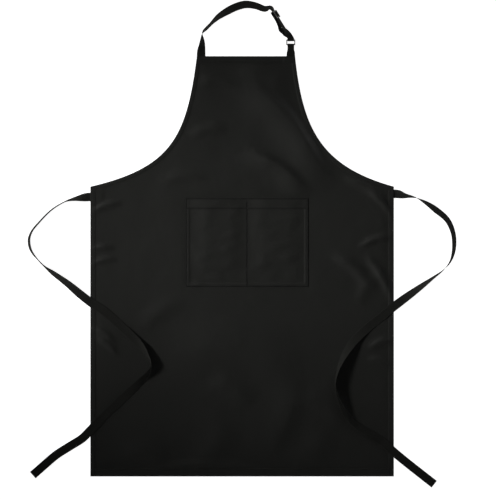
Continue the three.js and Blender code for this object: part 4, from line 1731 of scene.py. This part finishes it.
class Stitcher(Nodes):
    """Sews rows of stitches with one node tree."""

    UP = "face_up"
    SIZES = ("pitch", "length", "width", "height", "turn", "wander")

    def __init__(self, thread: bpy.types.Material) -> None:
        """Builds the tree.

        Args:
            thread: The thread's finish.
        """
        super().__init__(bpy.data.node_groups.new("row of stitches", "GeometryNodeTree"))
        face = self.tree.interface
        face.new_socket("Seam", in_out="INPUT", socket_type="NodeSocketGeometry")
        self.inputs = {
            name: face.new_socket(name, in_out="INPUT", socket_type="NodeSocketFloat").identifier
            for name in self.SIZES
        }
        self.inputs["seed"] = face.new_socket(
            "seed", in_out="INPUT", socket_type="NodeSocketInt"
        ).identifier
        face.new_socket("Stitches", in_out="OUTPUT", socket_type="NodeSocketGeometry")
        given = self.node("NodeGroupInput", {}, {}).outputs
        curve = self.node("GeometryNodeMeshToCurve", {}, {0: given["Seam"]})
        spaced = self.node(
            "GeometryNodeResampleCurve",
            {"mode": "LENGTH"},
            {"Curve": curve.outputs[0], "Length": given["pitch"]},
        )
        tangent = self.node("GeometryNodeInputTangent", {}, {})
        facing = self.node(
            "GeometryNodeInputNamedAttribute", {"data_type": "FLOAT_VECTOR"}, {"Name": self.UP}
        )
        ahead = self.node(
            "FunctionNodeAlignRotationToVector", {"axis": "X"}, {"Vector": tangent.outputs[0]}
        )
        upright = self.node(
            "FunctionNodeAlignRotationToVector",
            {"axis": "Z", "pivot_axis": "X"},
            {"Rotation": ahead.outputs[0], "Vector": facing.outputs["Attribute"]},
        )
        stray = self.node(
            "FunctionNodeRandomValue", {"data_type": "FLOAT"}, {2: -1.0, 3: 1.0, "Seed": given["seed"]}
        )
        amount = self.node(
            "ShaderNodeMath",
            {"operation": "MULTIPLY_ADD"},
            {0: stray.outputs[1], 1: given["wander"], 2: given["turn"]},
        )
        spin = self.node("ShaderNodeCombineXYZ", {}, {"Z": amount.outputs[0]})
        turn = self.node("FunctionNodeEulerToRotation", {}, {0: spin.outputs[0]})
        rotation = self.node(
            "FunctionNodeRotateRotation",
            {"rotation_space": "LOCAL"},
            {"Rotation": upright.outputs[0], "Rotate By": turn.outputs[0]},
        )
        size = self.node(
            "ShaderNodeCombineXYZ",
            {},
            {"X": given["height"], "Y": given["width"], "Z": given["length"]},
        )
        lozenge = self.node("GeometryNodeMeshUVSphere", {}, {"Segments": 6, "Rings": 5, "Radius": 0.5})
        shaped = self.node(
            "GeometryNodeTransform",
            {},
            {"Geometry": lozenge.outputs[0], "Rotation": (0.0, math.pi / 2, 0.0), "Scale": size.outputs[0]},
        )
        uneven = self.node(
            "FunctionNodeRandomValue",
            {"data_type": "FLOAT_VECTOR"},
            {0: (0.93, 0.9, 0.85), 1: (1.04, 1.08, 1.15), "Seed": given["seed"]},
        )
        laid = self.node(
            "GeometryNodeInstanceOnPoints",
            {},
            {
                "Points": spaced.outputs[0],
                "Instance": shaped.outputs[0],
                "Rotation": rotation.outputs[0],
                "Scale": uneven.outputs[0],
            },
        )
        real = self.node("GeometryNodeRealizeInstances", {}, {0: laid.outputs[0]})
        rounded = self.node("GeometryNodeSetShadeSmooth", {}, {0: real.outputs[0]})
        dressed = self.node(
            "GeometryNodeSetMaterial", {}, {"Geometry": rounded.outputs[0], "Material": thread}
        )
        self.node("NodeGroupOutput", {}, {"Stitches": dressed.outputs[0]})
        self.seed = 0

    def sew(self, name: str, rows: Stations, kind: StitchKind) -> bpy.types.Object:
        """Sews stitches along rows.

        Args:
            name: The piece's name.
            rows: Each row's places, with the direction that the cloth faces there.
            kind: The stitch.

        Returns:
            The stitches as one plain mesh.
        """
        self.seed += 1
        places = [point for row in rows for point, _ in row]
        ups = [up for row in rows for _, up in row]
        edges, start = [], 0
        for row in rows:
            edges += [(k, k + 1) for k in range(start, start + len(row) - 1)]
            start += len(row)
        mesh = bpy.data.meshes.new(name)
        mesh.from_pydata([tuple(point) for point in places], edges, [])
        facing = mesh.attributes.new(self.UP, "FLOAT_VECTOR", "POINT")
        facing.data.foreach_set("vector", np.array([tuple(up) for up in ups], dtype=np.float32).ravel())
        made = bpy.data.objects.new(name, mesh)
        bpy.context.scene.collection.objects.link(made)
        sewing = made.modifiers.new("stitches", "NODES")
        sewing.node_group = self.tree
        for size in self.SIZES:
            sewing[self.inputs[size]] = getattr(kind, size)
        sewing[self.inputs["seed"]] = self.seed
        return frozen(made)


@dataclass
class Seams:
    """Every row of stitching on the front, the pocket and the sewn tape ends."""

    cloth: Cloth
    pocket: Pocket
    stitcher: Stitcher
    sunk: float = 0.00004
    inset: float = 0.0008
    tack_start: float = 0.0010
    tack_reach: float = 0.0095
    box: tuple[float, float] = (0.0065, 0.0075)
    pocket_inset: float = 0.0025
    below_mouth: float = 0.010
    clear: float = 0.002

    def station(
        self, surface: Callable[[Any, Any], np.ndarray], x: np.ndarray, y: np.ndarray
    ) -> list[tuple[Vector, Vector]]:
        """Places on a cloth, with the way it faces.

        Args:
            surface: Gives the cloth's height.
            x: Places across.
            y: Places along.

        Returns:
            Each point and its direction.
        """
        reach = 0.0012
        height = surface(x, y)
        tilt_x = (surface(x + reach, y) - surface(x - reach, y)) / (2 * reach)
        tilt_y = (surface(x, y + reach) - surface(x, y - reach)) / (2 * reach)
        return [
            (Vector((a, b, c + self.sunk)), Vector((-p, -q, 1.0)).normalized())
            for a, b, c, p, q in zip(x, y, height, tilt_x, tilt_y)
        ]

    def run(
        self, surface: Callable[[Any, Any], np.ndarray], corners: Sequence[tuple[float, float]]
    ) -> list[tuple[Vector, Vector]]:
        """A row of stitching through corners, every 2 mm."""
        x, y = [], []
        for (x0, y0), (x1, y1) in zip(corners[:-1], corners[1:]):
            count = max(2, round(math.hypot(x1 - x0, y1 - y0) / 0.002))
            shares = np.linspace(0, 1, count, endpoint=False)
            x += list(x0 + (x1 - x0) * shares)
            y += list(y0 + (y1 - y0) * shares)
        x.append(corners[-1][0])
        y.append(corners[-1][1])
        return self.station(surface, np.array(x), np.array(y))

    def hems(self) -> dict[str, list]:
        """The hem rows of the front, by the CAD node that each stands for."""
        cut = self.cloth.pattern
        side = cut.half_width - cut.side_hem + self.inset
        low = -cut.length + cut.bottom_hem - self.inset
        high = cut.bib_height - cut.top_hem + self.inset
        top = self.cloth.top
        rows = {
            "side_seam_left": [self.run(top, [(-side, low + 0.002), (-side, -0.006)])],
            "side_seam_right": [self.run(top, [(side, low + 0.002), (side, -0.006)])],
            "bottom_hem_seam": [self.run(top, [(-side - 0.006, low), (side + 0.006, low)])],
            "top_hem_seam": [self.run(top, [(cut.bib_left + 0.003, high), (cut.bib_right - 0.003, high)])],
        }
        for name, right in (("armhole_seam_left", False), ("armhole_seam_right", True)):
            t = np.linspace(0.03, 0.955, 190)
            curve = cut.armhole(right, t)
            tangent = np.gradient(curve, axis=0)
            tangent /= np.linalg.norm(tangent, axis=1, keepdims=True)
            inward = np.stack([-tangent[:, 1], tangent[:, 0]], axis=1) * (1.0 if right else -1.0)
            places = curve + inward * (cut.armhole_hem - self.inset)
            rows[name] = [self.station(top, places[:, 0], places[:, 1])]
        return rows

    def boxes(self) -> dict[str, list]:
        """The stitched boxes over the sewn tape ends."""
        top = self.cloth.top
        made = {}
        for name, (x, y) in SEWN_ENDS.items():
            w, h = self.box[::-1] if name.startswith("tie") else self.box
            around = [(x - w, y - h), (x + w, y - h), (x + w, y + h), (x - w, y + h), (x - w, y - h)]
            made[name] = [
                self.run(top, around),
                self.run(top, [(x - w, y - h), (x + w, y + h)]),
                self.run(top, [(x - w, y + h), (x + w, y - h)]),
            ]
        return made

    def pocket_rows(self) -> dict[str, list]:
        """The rows on the pocket."""
        pocket, top, clear = self.pocket, self.pocket.top, self.clear
        left, right = pocket.left + self.pocket_inset, pocket.right - self.pocket_inset
        start, low = pocket.mouth - self.below_mouth, pocket.bottom + self.pocket_inset
        middle, hem = pocket.divider, pocket.mouth - pocket.hem + 0.001
        corners = {
            "pocket_seam": [(left, start), (left, low), (right, low), (right, start)],
            "pocket_divider_seam": [(middle, start), (middle, low + clear)],
            "pocket_hem_seam_left": [(left + clear, hem), (middle - clear, hem)],
            "pocket_hem_seam_right": [(middle + clear, hem), (right - clear, hem)],
        }
        return {name: [self.run(top, places)] for name, places in corners.items()}

    def tacks(self) -> dict[str, list]:
        """The bar tacks at the pocket's mouth."""
        pocket = self.pocket
        start, end = pocket.mouth - self.tack_start, pocket.mouth - self.tack_reach
        places = {
            "pocket_tack_left": pocket.left + self.pocket_inset,
            "pocket_tack_middle": pocket.divider,
            "pocket_tack_right": pocket.right - self.pocket_inset,
        }
        return {name: [self.run(pocket.top, [(x, start), (x, end)])] for name, x in places.items()}

    def build(self) -> list[bpy.types.Object]:
        """Sews every row."""
        kinds = (
            (self.hems(), StitchKind()),
            (self.boxes(), StitchKind.fine()),
            (self.pocket_rows(), StitchKind()),
            (self.tacks(), StitchKind.bar()),
        )
        pieces = []
        for rows, kind in kinds:
            for node, stations in rows.items():
                made = self.stitcher.sew(f"{node}_stitches", stations, kind)
                pieces.append(rides(made, Body.APRON, Slot.THREAD, [node]))
        return pieces


# ---- studio ----


@dataclass(frozen=True)
class Studio:
    """A pale floor, soft light from the upper left and a camera straight above."""

    middle: tuple[float, float] = (0.013, -0.140)
    covers: float = 1.104
    height: float = 9.6
    sensor: float = 36.0
    overhead: float = 0.026
    horizon: float = 1.05
    fade: tuple[float, float] = (0.15, 0.24)
    floor_reach: float = 30.0
    floor_drop: float = 0.0006
    key_power: float = 206.0
    key_tint: tuple[float, float, float] = (1.0, 1.0, 0.975)
    key_size: float = 0.28
    key_cone: float = 26.0
    key_place: tuple[float, float, float] = (-2.3, 0.2, 1.55)
    key_aim: tuple[float, float, float] = (0.1, -0.12, 0.0)
    fill_power: float = 1.2
    fill_size: float = 1.2
    fill_place: tuple[float, float, float] = (1.1, 0.6, 1.5)
    fill_aim: tuple[float, float, float] = (0.05, -0.1, 0.0)

    def floor(self) -> bpy.types.Object:
        """A wide white floor just under the cloth."""
        graph = Graph("studio_floor")
        inputs = {
            "Base Color": (0.9, 0.9, 0.9, 1.0),
            "Roughness": 0.9,
            "Emission Color": (1, 1, 1, 1),
            "Emission Strength": 1.0,
        }
        shader = graph.node("ShaderNodeBsdfPrincipled", {}, inputs)
        graph.node("ShaderNodeOutputMaterial", {}, {"Surface": shader.outputs[0]})
        around = ((-1, -1), (1, -1), (1, 1), (-1, 1))
        reach, drop = self.floor_reach, self.floor_drop
        corners = np.array([(x * reach, y * reach, -drop) for x, y in around])
        made = new_object("studio_floor", corners, [(0, 1, 2, 3)], graph.material)
        return made

    def shine(self, light: bpy.types.Light, place: Sequence[float], aim: Sequence[float]) -> None:
        """Stands a light at a place, facing another.

        Args:
            light: The light.
            place: Where it stands.
            aim: The point that it faces.
        """
        made = bpy.data.objects.new(light.name, light)
        made.location = place
        made.rotation_euler = (Vector(aim) - Vector(place)).to_track_quat("-Z", "Y").to_euler()
        bpy.context.scene.collection.objects.link(made)

    def key(self) -> None:
        """Adds the key light: a wide soft pool from the left that fades towards the bottom hem."""
        light = bpy.data.lights.new("key", "SPOT")
        light.energy = self.key_power
        light.color = self.key_tint
        light.shadow_soft_size = self.key_size
        light.spot_size = math.radians(self.key_cone)
        light.spot_blend = 1.0
        self.shine(light, self.key_place, self.key_aim)

    def fill(self) -> None:
        """Adds a faint square light from the upper right."""
        light = bpy.data.lights.new("fill", "AREA")
        light.shape = "SQUARE"
        light.size = self.fill_size
        light.energy = self.fill_power
        self.shine(light, self.fill_place, self.fill_aim)

    def sky(self) -> None:
        """A sky that is white just over the floor's far edge and dim overhead."""
        world = bpy.data.worlds.new("studio sky")
        world.use_nodes = True
        nodes = Nodes(world.node_tree)
        nodes.tree.nodes.clear()
        place = nodes.node("ShaderNodeTexCoord", {}, {})
        split = nodes.node("ShaderNodeSeparateXYZ", {}, {0: place.outputs["Generated"]})
        fade = nodes.node(
            "ShaderNodeMapRange",
            {"interpolation_type": "SMOOTHSTEP"},
            {
                "Value": split.outputs["Z"],
                "From Min": self.fade[0],
                "From Max": self.fade[1],
                "To Min": self.horizon,
                "To Max": self.overhead,
            },
        )
        glow = nodes.node("ShaderNodeBackground", {}, {"Strength": fade.outputs[0]})
        glow.inputs["Color"].default_value = (1.0, 1.0, 1.0, 1.0)
        nodes.node("ShaderNodeOutputWorld", {}, {"Surface": glow.outputs[0]})
        bpy.context.scene.world = world

    def build(self) -> None:
        """Sets up the floor, the lights, the sky and the camera."""
        scene = bpy.context.scene
        scene.view_settings.view_transform = "Standard"
        self.floor()
        self.key()
        self.fill()
        self.sky()
        lens = bpy.data.cameras.new("camera")
        lens.sensor_width = self.sensor
        lens.lens = self.sensor * self.height / self.covers
        lens.clip_end = 100.0
        camera = bpy.data.objects.new("camera", lens)
        camera.location = (*self.middle, self.height)
        scene.collection.objects.link(camera)
        scene.camera = camera


def main() -> None:
    """Builds the apron and the studio round it."""
    logging.basicConfig(level=logging.INFO, format="%(name)s: %(message)s", stream=sys.stdout)
    Studio().build()
    wardrobe = Wardrobe.make()
    stitcher = Stitcher(wardrobe.thread)
    pattern = PanelPattern()
    cloth = Cloth(pattern, list(SEWN_ENDS.values()))
    for name, stops, exit_place, length in (
        ("tie_left", TIE_LEFT_STOPS, (-0.335, -0.023, 0.0004), 0.958),
        ("tie_right", TIE_RIGHT_STOPS, (0.335, -0.016, 0.0004), 0.960),
    ):
        Tie(f"{name}_tape", name, stops, exit_place, length, cloth, wardrobe, stitcher).build()
    NeckStrap(cloth, wardrobe, stitcher, StrapPlan(pattern)).build()
    StrapHardware(wardrobe).build()
    FrontPanel(cloth, wardrobe).build()
    pocket = Pocket(cloth, wardrobe)
    pocket.build()
    Seams(cloth, pocket, stitcher).build()


if __name__ == "__main__":
    main()
